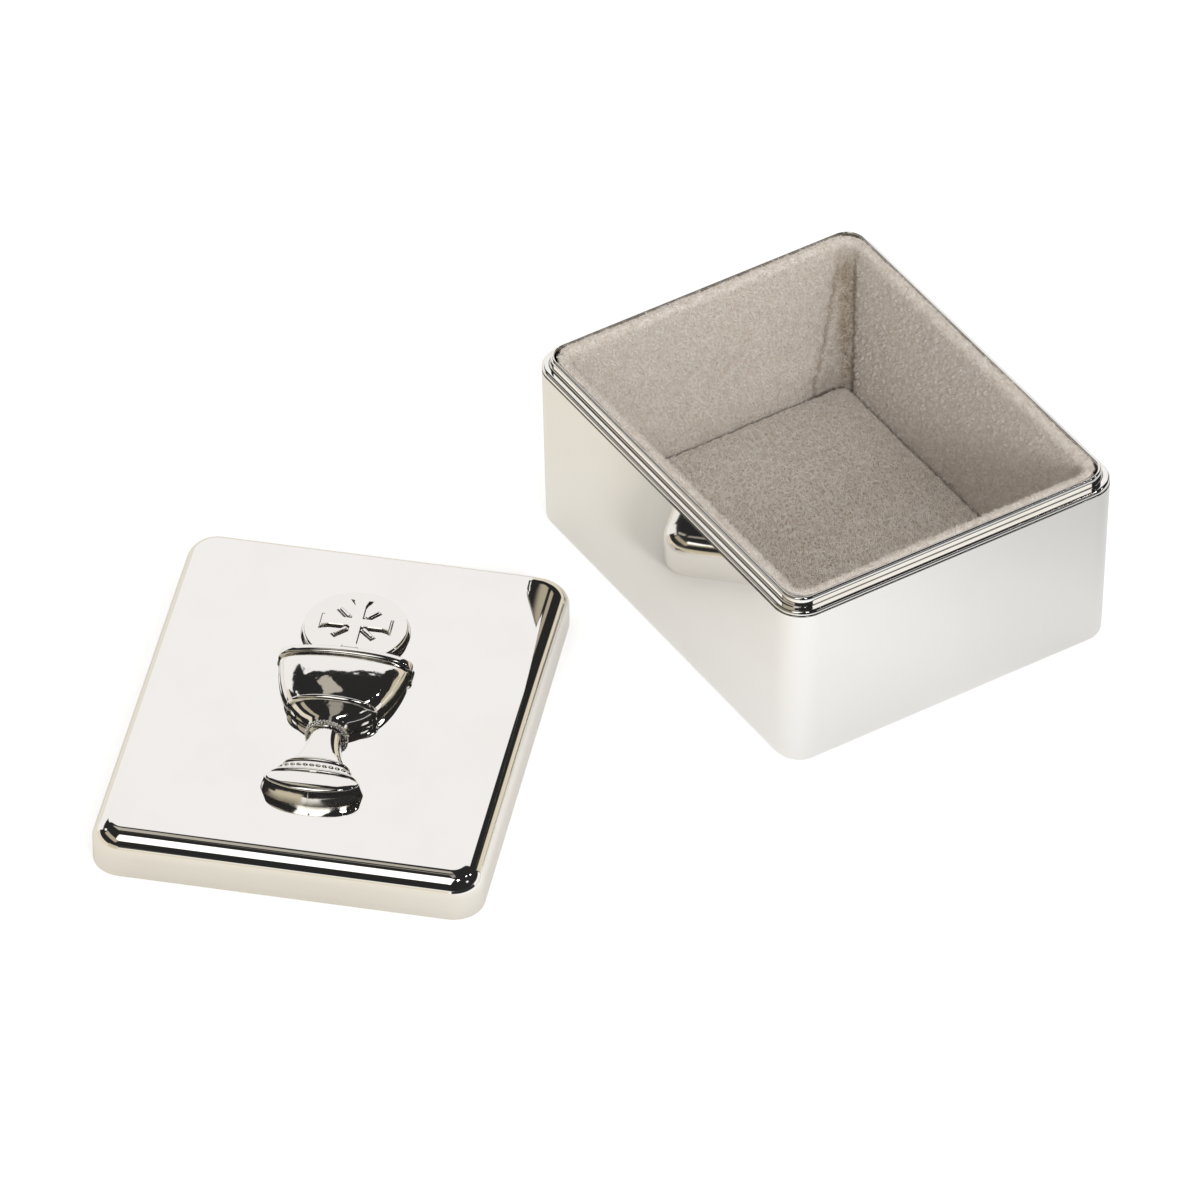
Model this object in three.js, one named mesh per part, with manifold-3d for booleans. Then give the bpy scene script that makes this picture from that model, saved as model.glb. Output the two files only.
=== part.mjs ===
// Communion keepsake box: a silver-plated box with a pile lining and a loose lid that carries
// a chalice and host in relief. The box stands open and its lid lies beside it, relief upwards.
// Millimetres, +Z up. The origin is the centre of the box's underside, the long side runs along Y.
import * as THREE from "three";
import { mergeVertices } from "three/addons/utils/BufferGeometryUtils.js";
import Module from "manifold-3d";

// Cast body
const boxWidth = 60; // short side, measured at the shoulder
const boxLength = 73.4; // long side, measured at the shoulder
const shoulderHeight = 30.5; // underside to the ledge that the lid sits on
const cornerRadius = 4.8; // upright corners, seen from above
const leastCorner = 0.6; // smallest corner radius of an inner outline
const wallDraft = 1.1; // degrees that the walls lean in towards the underside
const wallThickness = 1.95;
const floorThickness = 1.6;
const undersideRound = 1.1; // rounding where the walls meet the underside
const shoulderRound = 0.8; // rounding of the ledge's outer edge

// Collar strip, let into a rabbet inside the wall's top and soldered
const collarThickness = 0.6;
const collarRise = 1.6; // how far it stands above the ledge
const collarSeat = 3; // how deep it stands in the rabbet
const solderGap = 0.1;

// Lining: pile cloth on card
const wallCard = 0.5;
const wallPile = 1.5;
const floorCard = 0.8;
const floorPile = 1.6;
const glueGap = 0.05; // between card and cloth
const liningGap = 0.15; // free play of the lining in the body
const liningCorner = 4; // outer corner radius of the bent wall strip
const liningDrop = 0.2; // collar's lip down to the top of the pile
const rimRound = 0.9; // height of the pile's rounded rim

// Lid
const lidHeight = 7.3;
const lidTop = 1.1; // thickness of the top
const lidFit = 0.25; // play between the lid's wall and the collar
const lidEdgeRound = 3.3; // rounding where the top turns down into the walls
const lidRimRound = 0.3;
const lidCard = 0.5;
const lidPile = 1;
const lidTurn = -43.7; // degrees about Z, as the lid lies on the table
const lidStandOff = 8.9; // the lid's nearest corner to the body's wall
const lidShift = 7.2; // the lid's centre along the body's long side

// Relief on the lid, in its own frame: Y runs up the chalice
const reliefLean = 1.7; // degrees that the soldered relief leans
const reliefAside = 0.4; // its origin from the lid's centre, across the lid
const reliefUp = 1.4; // its origin from the lid's centre, along the lid
const sideSlope = 0.27; // how much the casting's sides lean out per height
const leastHalf = 0.4; // half width of the foot's front edge
const leastCrown = 0.01; // least height of the face above the sides
const leastStation = 0.04; // least distance between two drawn sections

// Host
const hostRadius = 8.1; // its flat face
const hostHeight = 1.3;
const hostDraft = 0.3; // how much wider the host is at its back
const hostRound = 0.35;
const hostCentre = 15.1;
const hostGap = 0.3; // between the host and the bowl's lip

// Bowl
const rimAt = 7.6; // top of the lip
const rimHalf = 10.2;
const rimHeight = 3.1; // height of the face at the lip
const lipBand = 1.6;
const lipRise = 0.6;
const lipSquareness = 4; // 2 is a half round, more is flatter with steeper edges
const lipWall = 1.2; // height of the casting's sides at the lip
const lipStep = 0.2; // how far the bowl stands in under the lip
const bowlSwell = 6.4; // lip down to where the bowl starts to narrow
const bowlTaper = 2.3; // how much it has narrowed towards its foot
const bellyAt = 1.5; // fullest place of the bowl's face
const bellyHeight = 4.8;
const bellyRise = 2.2; // reach of the curve from the lip to the belly
const bellyFall = 4.6; // reach of the curve below the belly
const bowlFootHeight = 2;
const bowlFootRise = 2; // reach of the curve above the bowl's foot
const bowlWall = 0.3;
const bowlFullness = 0.6; // 1 is an elliptic face, less is flatter with steeper flanks
const beadAt = -4.7; // raised line round the bowl
const beadBand = 0.8;
const beadRise = 0.35;

// Neck ring and stem
const neckAt = -9.3; // middle of the ring between bowl and stem
const neckHalf = 2.5;
const neckHeight = 2.6;
const neckBand = 1.5;
const neckRise = 0.6;
const stemFootAt = -17.2; // where the flared stem meets the foot's mouldings
const stemFootHalf = 4.6;
const stemHeight = 2.7;
const stemStraight = 4; // reach of the stem's slender part
const stemFlare = 2; // reach of its flared part

// Foot
const mouldingBand = 0.7; // height of the two thin mouldings
const mouldingRise = 0.3;
const footAt = -20.4; // lower edge of the second moulding
const footTopHalf = 6.5;
const footHalf = 7.25; // widest half width
const footSwell = 1.3; // second moulding down to the widest line
const footDepth = 3.1; // widest line down to the front edge
const footRound = 1.3; // rounding of the face into the front edge
const footHeight = 2.8;
const footDip = 0.3; // how much lower the face starts behind
const footWall = 1;
const footFullness = 0.2;

// Fineness of the facets
const cornerSteps = 8; // straight pieces in each rounded corner
const arcSteps = 3; // half the pieces in each quarter round of a section
const reliefSteps = 20; // pieces across the relief's face
const curveSteps = 10; // pieces in each curve down the relief
const hostSides = 64;

const silver = { color: 0xd9d7d2, roughness: 0.12, metalness: 1 };
const castSilver = { color: 0xcfccc6, roughness: 0.18, metalness: 1 };
const velour = { color: 0xbab4ac, roughness: 0.95, metalness: 0 };
const greyboard = { color: 0x6f665c, roughness: 0.9, metalness: 0 };

const leanPerHeight = Math.tan(THREE.MathUtils.degToRad(wallDraft));
const ledge = wallThickness - collarThickness;
const lidWall = ledge - lidFit;
const collarTop = shoulderHeight + collarRise;
const liningInset = wallThickness + liningGap;
const pileInset = liningInset + wallCard + glueGap;
const padInset = pileInset + wallPile + liningGap;

// How far a drafted wall stands in from the shoulder's outline at a height
function leanIn(height) {
  return (shoulderHeight - height) * leanPerHeight;
}

// One level of the box's rounded outline, moved in by an inset, anticlockwise from above
function outlineRing(inset, height, outerRadius) {
  const radius = Math.max(outerRadius - inset, leastCorner);
  const points = [];
  for (let corner = 0; corner < 4; corner++) {
    const signX = corner === 0 || corner === 3 ? 1 : -1;
    const signY = corner < 2 ? 1 : -1;
    const centreX = signX * (boxWidth / 2 - inset - radius);
    const centreY = signY * (boxLength / 2 - inset - radius);
    for (let step = 0; step <= cornerSteps; step++) {
      const angle = ((corner + step / cornerSteps) * Math.PI) / 2;
      const x = centreX + radius * Math.cos(angle);
      const y = centreY + radius * Math.sin(angle);
      points.push(new THREE.Vector3(x, y, height));
    }
  }
  return points;
}

// A closed surface through rings of equal count: the ends are capped, or the last meets the first
function loft(rings, endsMeet) {
  const size = rings[0].length;
  const positions = rings.flat().flatMap((point) => point.toArray());
  const indices = [];
  const bands = endsMeet ? rings.length : rings.length - 1;
  for (let band = 0; band < bands; band++) {
    const low = band * size;
    const high = ((band + 1) % rings.length) * size;
    for (let side = 0; side < size; side++) {
      const next = (side + 1) % size;
      indices.push(low + side, low + next, high + next);
      indices.push(low + side, high + next, high + side);
    }
  }
  if (!endsMeet) {
    const last = rings.length - 1;
    positions.push(...middleOf(rings[0]).toArray(), ...middleOf(rings[last]).toArray());
    const startHub = rings.length * size;
    for (let side = 0; side < size; side++) {
      const next = (side + 1) % size;
      indices.push(startHub, next, side);
      indices.push(startHub + 1, last * size + side, last * size + next);
    }
  }
  const geometry = new THREE.BufferGeometry();
  geometry.setAttribute("position", new THREE.Float32BufferAttribute(positions, 3));
  geometry.setIndex(indices);
  return geometry;
}

function middleOf(ring) {
  const sum = new THREE.Vector3();
  ring.forEach((point) => sum.add(point));
  return sum.divideScalar(ring.length);
}

// Carries a section round the box: its x is the inset from the outline, its y is the height
function sweepRound(section, { endsMeet = false, radius = cornerRadius } = {}) {
  const points = section.getPoints(arcSteps);
  const shut = endsMeet && points[0].distanceTo(points[points.length - 1]) < 1e-6;
  const rings = (shut ? points.slice(0, -1) : points).map((p) => outlineRing(p.x, p.y, radius));
  return loft(rings, endsMeet);
}

// A flat plate with its top edge rounded, between two heights
function plate(inset, bottom, top, round, radius) {
  const section = new THREE.Path();
  section.moveTo(inset, bottom);
  section.lineTo(inset, top - round);
  if (round > 0) section.absarc(inset + round, top - round, round, Math.PI, Math.PI / 2, true);
  return sweepRound(section, { radius });
}

function bodySection() {
  const section = new THREE.Path();
  const under = leanIn(undersideRound) + undersideRound;
  const seat = shoulderHeight - collarSeat;
  section.moveTo(under, 0);
  section.absarc(under, undersideRound, undersideRound, -Math.PI / 2, -Math.PI, true);
  section.lineTo(0, shoulderHeight - shoulderRound);
  section.absarc(shoulderRound, shoulderHeight - shoulderRound, shoulderRound, Math.PI, Math.PI / 2, true);
  section.lineTo(ledge - solderGap, shoulderHeight);
  section.lineTo(ledge - solderGap, seat);
  section.lineTo(wallThickness, seat);
  section.lineTo(wallThickness + leanIn(floorThickness), floorThickness);
  return section;
}

function collarSection() {
  const section = new THREE.Path();
  const lip = collarThickness / 2;
  section.moveTo(ledge, shoulderHeight - collarSeat);
  section.lineTo(ledge, collarTop - lip);
  section.absarc(ledge + lip, collarTop - lip, lip, Math.PI, 0, true);
  section.lineTo(wallThickness, shoulderHeight - collarSeat);
  return section;
}

const pileTop = collarTop - liningDrop;
const cardTop = pileTop - rimRound - glueGap;

function wallCardSection() {
  const section = new THREE.Path();
  section.moveTo(liningInset + leanIn(floorThickness), floorThickness);
  section.lineTo(liningInset, cardTop);
  section.lineTo(liningInset + wallCard, cardTop);
  section.lineTo(liningInset + wallCard + leanIn(floorThickness), floorThickness);
  return section;
}

// The cloth lies on the card's inner face and is turned over its top edge
function wallPileSection() {
  const section = new THREE.Path();
  const across = (wallCard + glueGap + wallPile) / 2;
  section.moveTo(pileInset + leanIn(floorThickness), floorThickness);
  section.lineTo(pileInset, cardTop + glueGap);
  section.lineTo(liningInset, cardTop + glueGap);
  section.absellipse(liningInset + across, pileTop - rimRound, across, rimRound, Math.PI, 0, true);
  section.lineTo(pileInset + wallPile + leanIn(floorThickness), floorThickness);
  return section;
}

function lidSection() {
  const section = new THREE.Path();
  const inside = lidEdgeRound - lidWall;
  const ceiling = lidHeight - lidTop;
  section.moveTo(lidWall + inside, ceiling);
  section.absarc(lidWall + inside, ceiling - inside, inside, Math.PI / 2, Math.PI, false);
  section.lineTo(lidWall, 0);
  section.lineTo(lidRimRound, 0);
  section.absarc(lidRimRound, lidRimRound, lidRimRound, -Math.PI / 2, -Math.PI, true);
  section.absarc(lidEdgeRound, lidHeight - lidEdgeRound, lidEdgeRound, Math.PI, Math.PI / 2, true);
  return section;
}

const footWidest = footAt - footSwell;
const footFront = footWidest - footDepth;

// The chalice from the front: x is its half width, y runs down from the lip to the foot's front
function chaliceFront() {
  const front = new THREE.Path();
  const bowlTop = rimAt - lipBand;
  const bowlFoot = neckAt + neckBand;
  const bowlHalf = neckHalf + neckRise;
  const stemTop = neckAt - neckBand / 4;
  front.moveTo(rimHalf, rimAt);
  front.lineTo(rimHalf, bowlTop + lipStep / 4);
  front.lineTo(rimHalf - lipStep, bowlTop);
  const swell = [rimHalf - 3 * lipStep, rimAt - bowlSwell];
  const taper = [rimHalf - bowlTaper, bowlFoot + bowlTaper];
  front.bezierCurveTo(...swell, ...taper, bowlHalf, bowlFoot);
  front.lineTo(neckHalf, stemTop);
  const straight = [neckHalf, neckAt - stemStraight];
  const flare = [stemFootHalf - stemFlare / 2, stemFootAt + stemFlare];
  front.bezierCurveTo(...straight, ...flare, stemFootHalf, stemFootAt);
  front.lineTo(footTopHalf, footAt);
  front.quadraticCurveTo(footHalf, footAt, footHalf, footWidest);
  front.absellipse(0, footWidest, footHalf, footDepth, 0, -Math.PI / 2, true);
  return front;
}

// The chalice from the side: x is the height of its middle line
function chaliceSide() {
  const side = new THREE.Path();
  const bowlFoot = neckAt + neckBand / 3;
  const crest = footFront + footRound;
  side.moveTo(rimHeight, rimAt);
  const rising = [bellyHeight - lipRise, rimAt - bellyRise, bellyHeight, bellyAt + bellyRise];
  side.bezierCurveTo(...rising, bellyHeight, bellyAt);
  const falling = [bellyHeight, bellyAt - bellyFall, bowlFootHeight + neckBand, bowlFoot + bowlFootRise];
  side.bezierCurveTo(...falling, bowlFootHeight, bowlFoot);
  side.lineTo(neckHeight, neckAt - neckBand / 4);
  side.lineTo(stemHeight, stemFootAt);
  side.lineTo(footHeight - footDip, footAt);
  side.lineTo(footHeight, crest);
  side.absellipse(footWall, crest, footHeight - footWall, footRound, 0, -Math.PI / 2, true);
  return side;
}

// The height of the casting's sides down the chalice
function chaliceWalls() {
  const walls = new THREE.Path();
  walls.moveTo(lipWall, rimAt);
  walls.lineTo(lipWall, rimAt - lipBand);
  walls.lineTo(bowlWall, rimAt - 3 * lipBand);
  walls.lineTo(bowlWall, stemFootAt);
  walls.lineTo(footWall, footAt);
  walls.lineTo(footWall, footFront);
  return walls;
}

function readAt(points, y) {
  const found = points.findIndex((point, index) => index > 0 && point.y <= y);
  const after = points[found < 0 ? points.length - 1 : found];
  const before = points[found < 0 ? points.length - 2 : found - 1];
  const share = (before.y - y) / (before.y - after.y);
  return THREE.MathUtils.lerp(before.x, after.x, THREE.MathUtils.clamp(share, 0, 1));
}

// Raised bands that cross the chalice, each a half round unless it is squarer
const ridges = [
  { at: rimAt - lipBand / 2, band: lipBand, rise: lipRise, squareness: lipSquareness },
  { at: beadAt, band: beadBand, rise: beadRise },
  { at: neckAt, band: neckBand, rise: neckRise },
  { at: stemFootAt - mouldingBand / 2, band: mouldingBand, rise: mouldingRise },
  { at: footAt + mouldingBand / 2, band: mouldingBand, rise: mouldingRise },
];

function ridgeAt(y) {
  return ridges.reduce((most, { at, band, rise, squareness = 2 }) => {
    const off = Math.abs((2 * (y - at)) / band);
    return off < 1 ? Math.max(most, rise * Math.pow(1 - off ** squareness, 1 / squareness)) : most;
  }, 0);
}

// Places along the chalice at which a section is drawn, from the foot's front up to the lip
function chaliceStations(front) {
  const ridgeStops = ridges.flatMap(({ at, band }) => {
    return [0, 1, 2, 3, 4, 5, 6].map((step) => at - (Math.cos((step / 6) * Math.PI) * band) / 2);
  });
  const stops = [...front.map((point) => point.y), ...ridgeStops];
  const sorted = stops.filter((y) => y <= rimAt && y >= footFront).sort((a, b) => a - b);
  return sorted.filter((y, index) => index === 0 || y - sorted[index - 1] > leastStation);
}

// How far the casting's back stands out from its sides: square to the outline, by their height
function sideSpread(front, y, wall) {
  const slope = (readAt(front, y + leastStation) - readAt(front, y - leastStation)) / (2 * leastStation);
  return new THREE.Vector2(1, -slope).setLength(sideSlope * wall);
}

function chaliceGeometry() {
  const front = chaliceFront().getPoints(curveSteps);
  const side = chaliceSide().getPoints(curveSteps);
  const walls = chaliceWalls().getPoints();
  const rings = chaliceStations(front).map((y) => {
    const ridge = ridgeAt(y);
    const wall = readAt(walls, y);
    const half = Math.max(readAt(front, y), leastHalf) + ridge;
    const crown = Math.max(readAt(side, y) + ridge - wall, leastCrown);
    const fullness = THREE.MathUtils.mapLinear(y, footAt, neckAt, footFullness, bowlFullness);
    const power = THREE.MathUtils.clamp(fullness, footFullness, bowlFullness);
    const spread = sideSpread(front, y, wall);
    const ring = [
      new THREE.Vector3(-half - spread.x, y + spread.y, 0),
      new THREE.Vector3(half + spread.x, y + spread.y, 0),
    ];
    for (let step = 0; step <= reliefSteps; step++) {
      const angle = (step / reliefSteps) * Math.PI;
      const height = wall + crown * Math.pow(Math.sin(angle), power);
      ring.push(new THREE.Vector3(half * Math.cos(angle), y, height));
    }
    return ring.reverse();
  });
  return loft(rings, false);
}

function hostGeometry() {
  const outline = new THREE.Path();
  outline.moveTo(0, 0);
  outline.lineTo(hostRadius + hostDraft, 0);
  outline.lineTo(hostRadius, hostHeight - hostRound);
  outline.absarc(hostRadius - hostRound, hostHeight - hostRound, hostRound, 0, Math.PI / 2, false);
  outline.lineTo(0, hostHeight);
  const disc = new THREE.LatheGeometry(outline.getPoints(arcSteps), hostSides);
  disc.rotateX(Math.PI / 2);
  disc.translate(0, hostCentre, 0);
  return disc;
}

const wasm = await Module();
wasm.setup();

function toSolid(geometry) {
  const bare = geometry.clone();
  bare.deleteAttribute("normal");
  bare.deleteAttribute("uv");
  const merged = mergeVertices(bare, 1e-5);
  const vertProperties = new Float32Array(merged.attributes.position.array);
  const triVerts = new Uint32Array(merged.index.array);
  return new wasm.Manifold(new wasm.Mesh({ numProp: 3, vertProperties, triVerts }));
}

function toGeometry(solid) {
  const mesh = solid.getMesh();
  const geometry = new THREE.BufferGeometry();
  geometry.setAttribute("position", new THREE.BufferAttribute(mesh.vertProperties, 3));
  geometry.setIndex(new THREE.BufferAttribute(mesh.triVerts, 1));
  return geometry;
}

// The host is cut off straight where the bowl's lip stands in front of it
function cutHost() {
  const reach = hostRadius + hostDraft;
  const bowl = new THREE.BoxGeometry(3 * reach, reach, 3 * hostHeight);
  bowl.translate(0, rimAt + hostGap - reach / 2, 0);
  return toGeometry(toSolid(hostGeometry()).subtract(toSolid(bowl)));
}

function addPiece(parent, name, geometry, finish) {
  const mesh = new THREE.Mesh(geometry, new THREE.MeshStandardMaterial(finish));
  mesh.name = name;
  geometry.computeVertexNormals();
  parent.add(mesh);
  return mesh;
}

const padTop = floorThickness + floorCard + floorPile;

const body = new THREE.Group();
addPiece(body, "base_shell", sweepRound(bodySection()), silver);
addPiece(body, "base_collar", sweepRound(collarSection(), { endsMeet: true }), silver);
const strip = { endsMeet: true, radius: liningCorner + liningInset };
addPiece(body, "wall_lining_card", sweepRound(wallCardSection(), strip), greyboard);
addPiece(body, "wall_lining_velour", sweepRound(wallPileSection(), strip), velour);
const padEdge = padInset + leanIn(floorThickness);
const cardPlate = plate(padEdge, floorThickness, floorThickness + floorCard, 0, strip.radius);
addPiece(body, "floor_pad_card", cardPlate, greyboard);
const pilePlate = plate(padEdge, floorThickness + floorCard, padTop, rimRound, strip.radius);
addPiece(body, "floor_pad_velour", pilePlate, velour);

// The lid's nearest corner keeps its stand-off whatever the lid measures
const turn = THREE.MathUtils.degToRad(lidTurn);
const flatX = (boxWidth / 2 - cornerRadius) * Math.abs(Math.cos(turn));
const flatY = (boxLength / 2 - cornerRadius) * Math.abs(Math.sin(turn));
const lidReach = flatX + flatY + cornerRadius;

const lid = new THREE.Group();
lid.position.set(-(boxWidth / 2 + lidStandOff + lidReach), lidShift, 0);
lid.rotation.z = turn;
addPiece(lid, "lid_shell", sweepRound(lidSection()), silver);
const ceiling = lidHeight - lidTop;
const lidPadEdge = lidEdgeRound + liningGap;
const lidCardPlate = plate(lidPadEdge, ceiling - lidCard, ceiling, 0, cornerRadius);
addPiece(lid, "lid_lining_card", lidCardPlate, greyboard);
const lidPilePlate = plate(lidPadEdge, ceiling - lidCard - lidPile, ceiling - lidCard, 0, cornerRadius);
addPiece(lid, "lid_lining_velour", lidPilePlate, velour);

const relief = new THREE.Group();
relief.position.set(reliefAside, reliefUp, lidHeight);
relief.rotation.z = THREE.MathUtils.degToRad(reliefLean);
addPiece(relief, "chalice", chaliceGeometry(), castSilver);
addPiece(relief, "host_disc", cutHost(), castSilver);
lid.add(relief);

const keepsakeBox = new THREE.Group();
keepsakeBox.add(body, lid);

export default keepsakeBox;
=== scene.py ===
"""Communion keepsake box: an open silver-plated box with a pile lining, and its lid beside it.

Everything is in metres with +Z up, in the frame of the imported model. The box stands on the floor
with its centre at the origin and its long side along Y. Each sub-assembly is a class that holds
its own sizes, builds its meshes and dresses them, and main() builds them in order.
"""

import logging
import math
from collections.abc import Sequence
from dataclasses import dataclass, field, replace
from enum import Enum

import bmesh
import bpy
import numpy as np
from mathutils import Matrix, Vector


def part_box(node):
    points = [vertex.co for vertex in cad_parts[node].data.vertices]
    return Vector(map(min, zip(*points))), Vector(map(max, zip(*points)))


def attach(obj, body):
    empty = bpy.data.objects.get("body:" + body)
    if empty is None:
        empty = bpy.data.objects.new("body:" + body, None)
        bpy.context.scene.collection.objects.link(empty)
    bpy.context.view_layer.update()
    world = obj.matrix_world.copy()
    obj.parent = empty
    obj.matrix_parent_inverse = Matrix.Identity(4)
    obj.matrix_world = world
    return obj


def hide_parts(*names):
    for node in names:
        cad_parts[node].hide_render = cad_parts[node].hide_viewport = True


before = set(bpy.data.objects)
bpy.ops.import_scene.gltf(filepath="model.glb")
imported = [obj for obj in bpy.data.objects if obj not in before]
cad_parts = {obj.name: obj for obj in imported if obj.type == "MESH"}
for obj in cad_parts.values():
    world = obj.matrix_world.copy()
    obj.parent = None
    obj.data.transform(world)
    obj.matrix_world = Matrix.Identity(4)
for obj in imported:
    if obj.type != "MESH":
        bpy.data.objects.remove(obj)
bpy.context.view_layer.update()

MM = 0.001
log = logging.getLogger("keepsake_box")

Node = bpy.types.Node
Socket = bpy.types.NodeSocket
Piece = bpy.types.Object
Colour = tuple[float, float, float]
Pair = tuple[float, float]
Graded = float | Node | Socket


class Body(Enum):
    """The bodies that pieces ride on."""

    BOX = "box_body"
    LID = "lid"


class Slot(Enum):
    """The record's material slots."""

    SILVER_PLATE = "silver_plate"
    CAST_SILVER = "cast_silver"
    VELOUR = "velour"
    GREYBOARD = "greyboard"


class Side(Enum):
    """The sides of the box, as its lining is divided."""

    RIGHT = "right"
    LEFT = "left"
    FAR = "far"
    NEAR = "near"


class Mark(Enum):
    """Attributes that meshes carry for their materials and node trees."""

    NAP = "nap"
    # CLUMP, TIP and CREASE carry the velour's painted shade; CREASE also presses the tufts down.
    CLUMP = "clump"
    TIP = "tip"
    # Painted shade for the silver's grooves, corners and bases.
    HOLLOW_SHADE = "hollow_shade"
    WAVE = "wave"
    CREASE = "crease"
    UP = "up"


class NodeGraph:
    """Fills one shader or geometry tree, with inputs given as values or as other nodes."""

    def __init__(self, tree: bpy.types.NodeTree) -> None:
        """Takes over a tree and empties it."""
        self.tree = tree
        tree.nodes.clear()

    def add(self, kind: str, inputs: dict | None = None, **settings: object) -> Node:
        """Adds one node.

        Args:
            kind: the node's type name.
            inputs: values, nodes or sockets by input name or number.
            **settings: the node's own properties.

        Returns:
            The new node.
        """
        node = self.tree.nodes.new(kind)
        for name, value in settings.items():
            setattr(node, name, value)
        for key, value in (inputs or {}).items():
            self.put(node.inputs[key], value)
        return node

    def put(self, socket: Socket, value: object) -> None:
        """Joins a socket to a node's first output or to a socket, or sets its value.

        Args:
            socket: the input to feed.
            value: a node, an output socket or a plain value.
        """
        source = value.outputs[0] if isinstance(value, Node) else value
        if isinstance(source, Socket):
            self.tree.links.new(source, socket)
        else:
            socket.default_value = source

    def math(self, operation: str, first: Graded, second: Graded = 0.0) -> Node:
        """Adds a Math node with its two inputs."""
        return self.add("ShaderNodeMath", {0: first, 1: second}, operation=operation)

    def vector(self, operation: str, inputs: dict) -> Node:
        """Adds a Vector Math node, with its inputs by name or number."""
        return self.add("ShaderNodeVectorMath", inputs, operation=operation)

    def spread(self, value: Graded, low: float, high: float, to: Pair = (0.0, 1.0)) -> Node:
        """Maps a value smoothly from between low and high to between two other numbers."""
        ends = {"Value": value, "From Min": low, "From Max": high, "To Min": to[0], "To Max": to[1]}
        return self.add("ShaderNodeMapRange", ends, interpolation_type="SMOOTHSTEP")

    def blend(self, factor: Graded, first: object, second: object) -> Socket:
        """Mixes two colours.

        Args:
            factor: the share of the second colour.
            first: a colour, node or socket.
            second: a colour, node or socket.

        Returns:
            The mixed colour's socket.
        """
        node = self.add("ShaderNodeMix", data_type="RGBA")
        factor_input, first_input, second_input, result = 0, 6, 7, 2
        self.put(node.inputs[factor_input], factor)
        self.put(node.inputs[first_input], opaque(first))
        self.put(node.inputs[second_input], opaque(second))
        return node.outputs[result]

    def noise(self, place: object, size: Graded, detail: float = 2.0) -> Node:
        """Adds a noise texture, whose features have a size in metres."""
        scale = 1 / size if isinstance(size, float) else self.math("DIVIDE", 1.0, size)
        return self.add("ShaderNodeTexNoise", {"Vector": place, "Scale": scale, "Detail": detail})

    def bump(self, distance: float, height: Graded, **inputs: Node) -> Node:
        """Adds a Bump node. Another one that it builds on is given as its Normal."""
        return self.add("ShaderNodeBump", {"Distance": distance, "Height": height, **inputs})

    def shader_mark(self, mark: Mark) -> Socket:
        """Reads a mark in a shader tree."""
        return self.add("ShaderNodeAttribute", attribute_name=mark.value).outputs["Fac"]

    def mesh_mark(self, mark: Mark, kind: str = "FLOAT") -> Node:
        """Reads a mark of one kind in a geometry tree."""
        return self.add("GeometryNodeInputNamedAttribute", {"Name": mark.value}, data_type=kind)

    def store(self, shape: object, mark: Mark, value: Graded) -> Node:
        """Stores a mark with its value on the points of a geometry."""
        inputs = {"Geometry": shape, "Name": mark.value, "Value": value}
        return self.add("GeometryNodeStoreNamedAttribute", inputs, data_type="FLOAT", domain="POINT")


def opaque(colour: object) -> object:
    """Gives a plain colour its alpha, and passes nodes and sockets on."""
    return (*colour, 1.0) if isinstance(colour, tuple) else colour


def new_material(name: str) -> tuple[bpy.types.Material, NodeGraph]:
    """Makes a material whose tree is empty.

    Args:
        name: the material's name.

    Returns:
        The material and its graph.
    """
    material = bpy.data.materials.new(name)
    material.use_nodes = True
    return material, NodeGraph(material.node_tree)


def link(name: str, data: bpy.types.ID) -> Piece:
    """Adds an object to the scene.

    Args:
        name: the object's name.
        data: the mesh, camera or light that it holds.

    Returns:
        The new object.
    """
    piece = bpy.data.objects.new(name, data)
    bpy.context.scene.collection.objects.link(piece)
    return piece


@dataclass(frozen=True)
class Finish:
    """What pieces are made of. Each kind has a surface of its own."""

    name: str
    slot: Slot

    def surface(self, graph: NodeGraph, place: Socket) -> dict:
        """Draws the surface and returns the inputs of its Principled shader."""
        raise NotImplementedError

    def material(self) -> bpy.types.Material:
        """Builds the material.

        Returns:
            The material.
        """
        material, graph = new_material(self.name)
        place = graph.add("ShaderNodeTexCoord").outputs["Object"]
        shader = graph.add("ShaderNodeBsdfPrincipled", self.surface(graph, place))
        graph.add("ShaderNodeOutputMaterial", {"Surface": shader})
        return material


@dataclass(frozen=True)
class PolishedSilver(Finish):
    """Silver plate: a mirror with slow ripples, wiping marks, haze, and painted shade in its grooves."""

    colour: Colour = (0.94, 0.924, 0.90)
    haze_colour: Colour = (0.93, 0.91, 0.88)
    # Painted shade for the groove under the body's edge and the corner at the collar's foot.
    groove_shade_colour: Colour = (0.05, 0.042, 0.03)
    roughness: float = 0.03
    haze_roughness: float = 0.045
    haze_size: float = 14 * MM
    haze_range: Pair = (0.42, 0.72)
    ripple_size: float = 9 * MM
    ripple_height: float = 0.006 * MM
    wipe_size: float = 0.35 * MM
    wipe_length: float = 14
    wipe_height: float = 0.0003 * MM

    def surface(self, graph: NodeGraph, place: Socket) -> dict:
        """Draws the surface.

        Args:
            graph: the material's graph.
            place: the object's own coordinates.

        Returns:
            The Principled shader's inputs.
        """
        hazy = graph.spread(graph.noise(place, self.haze_size, detail=5.0), *self.haze_range)
        tone = graph.blend(hazy, self.colour, self.haze_colour)
        along = graph.add("ShaderNodeMapping", {"Vector": place, "Scale": (1 / self.wipe_length, 1.0, 1.0)})
        rippled = graph.bump(self.ripple_height, graph.noise(place, self.ripple_size, detail=1.0))
        wiped = graph.bump(self.wipe_height, graph.noise(along, self.wipe_size, detail=3.0), Normal=rippled)
        return {
            # The hollow shade mark paints this shade in.
            "Base Color": graph.blend(graph.shader_mark(Mark.HOLLOW_SHADE), tone, self.groove_shade_colour),
            "Metallic": 1.0,
            "Roughness": graph.spread(hazy, 0.0, 1.0, (self.roughness, self.haze_roughness)),
            "Normal": wiped,
        }


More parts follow.
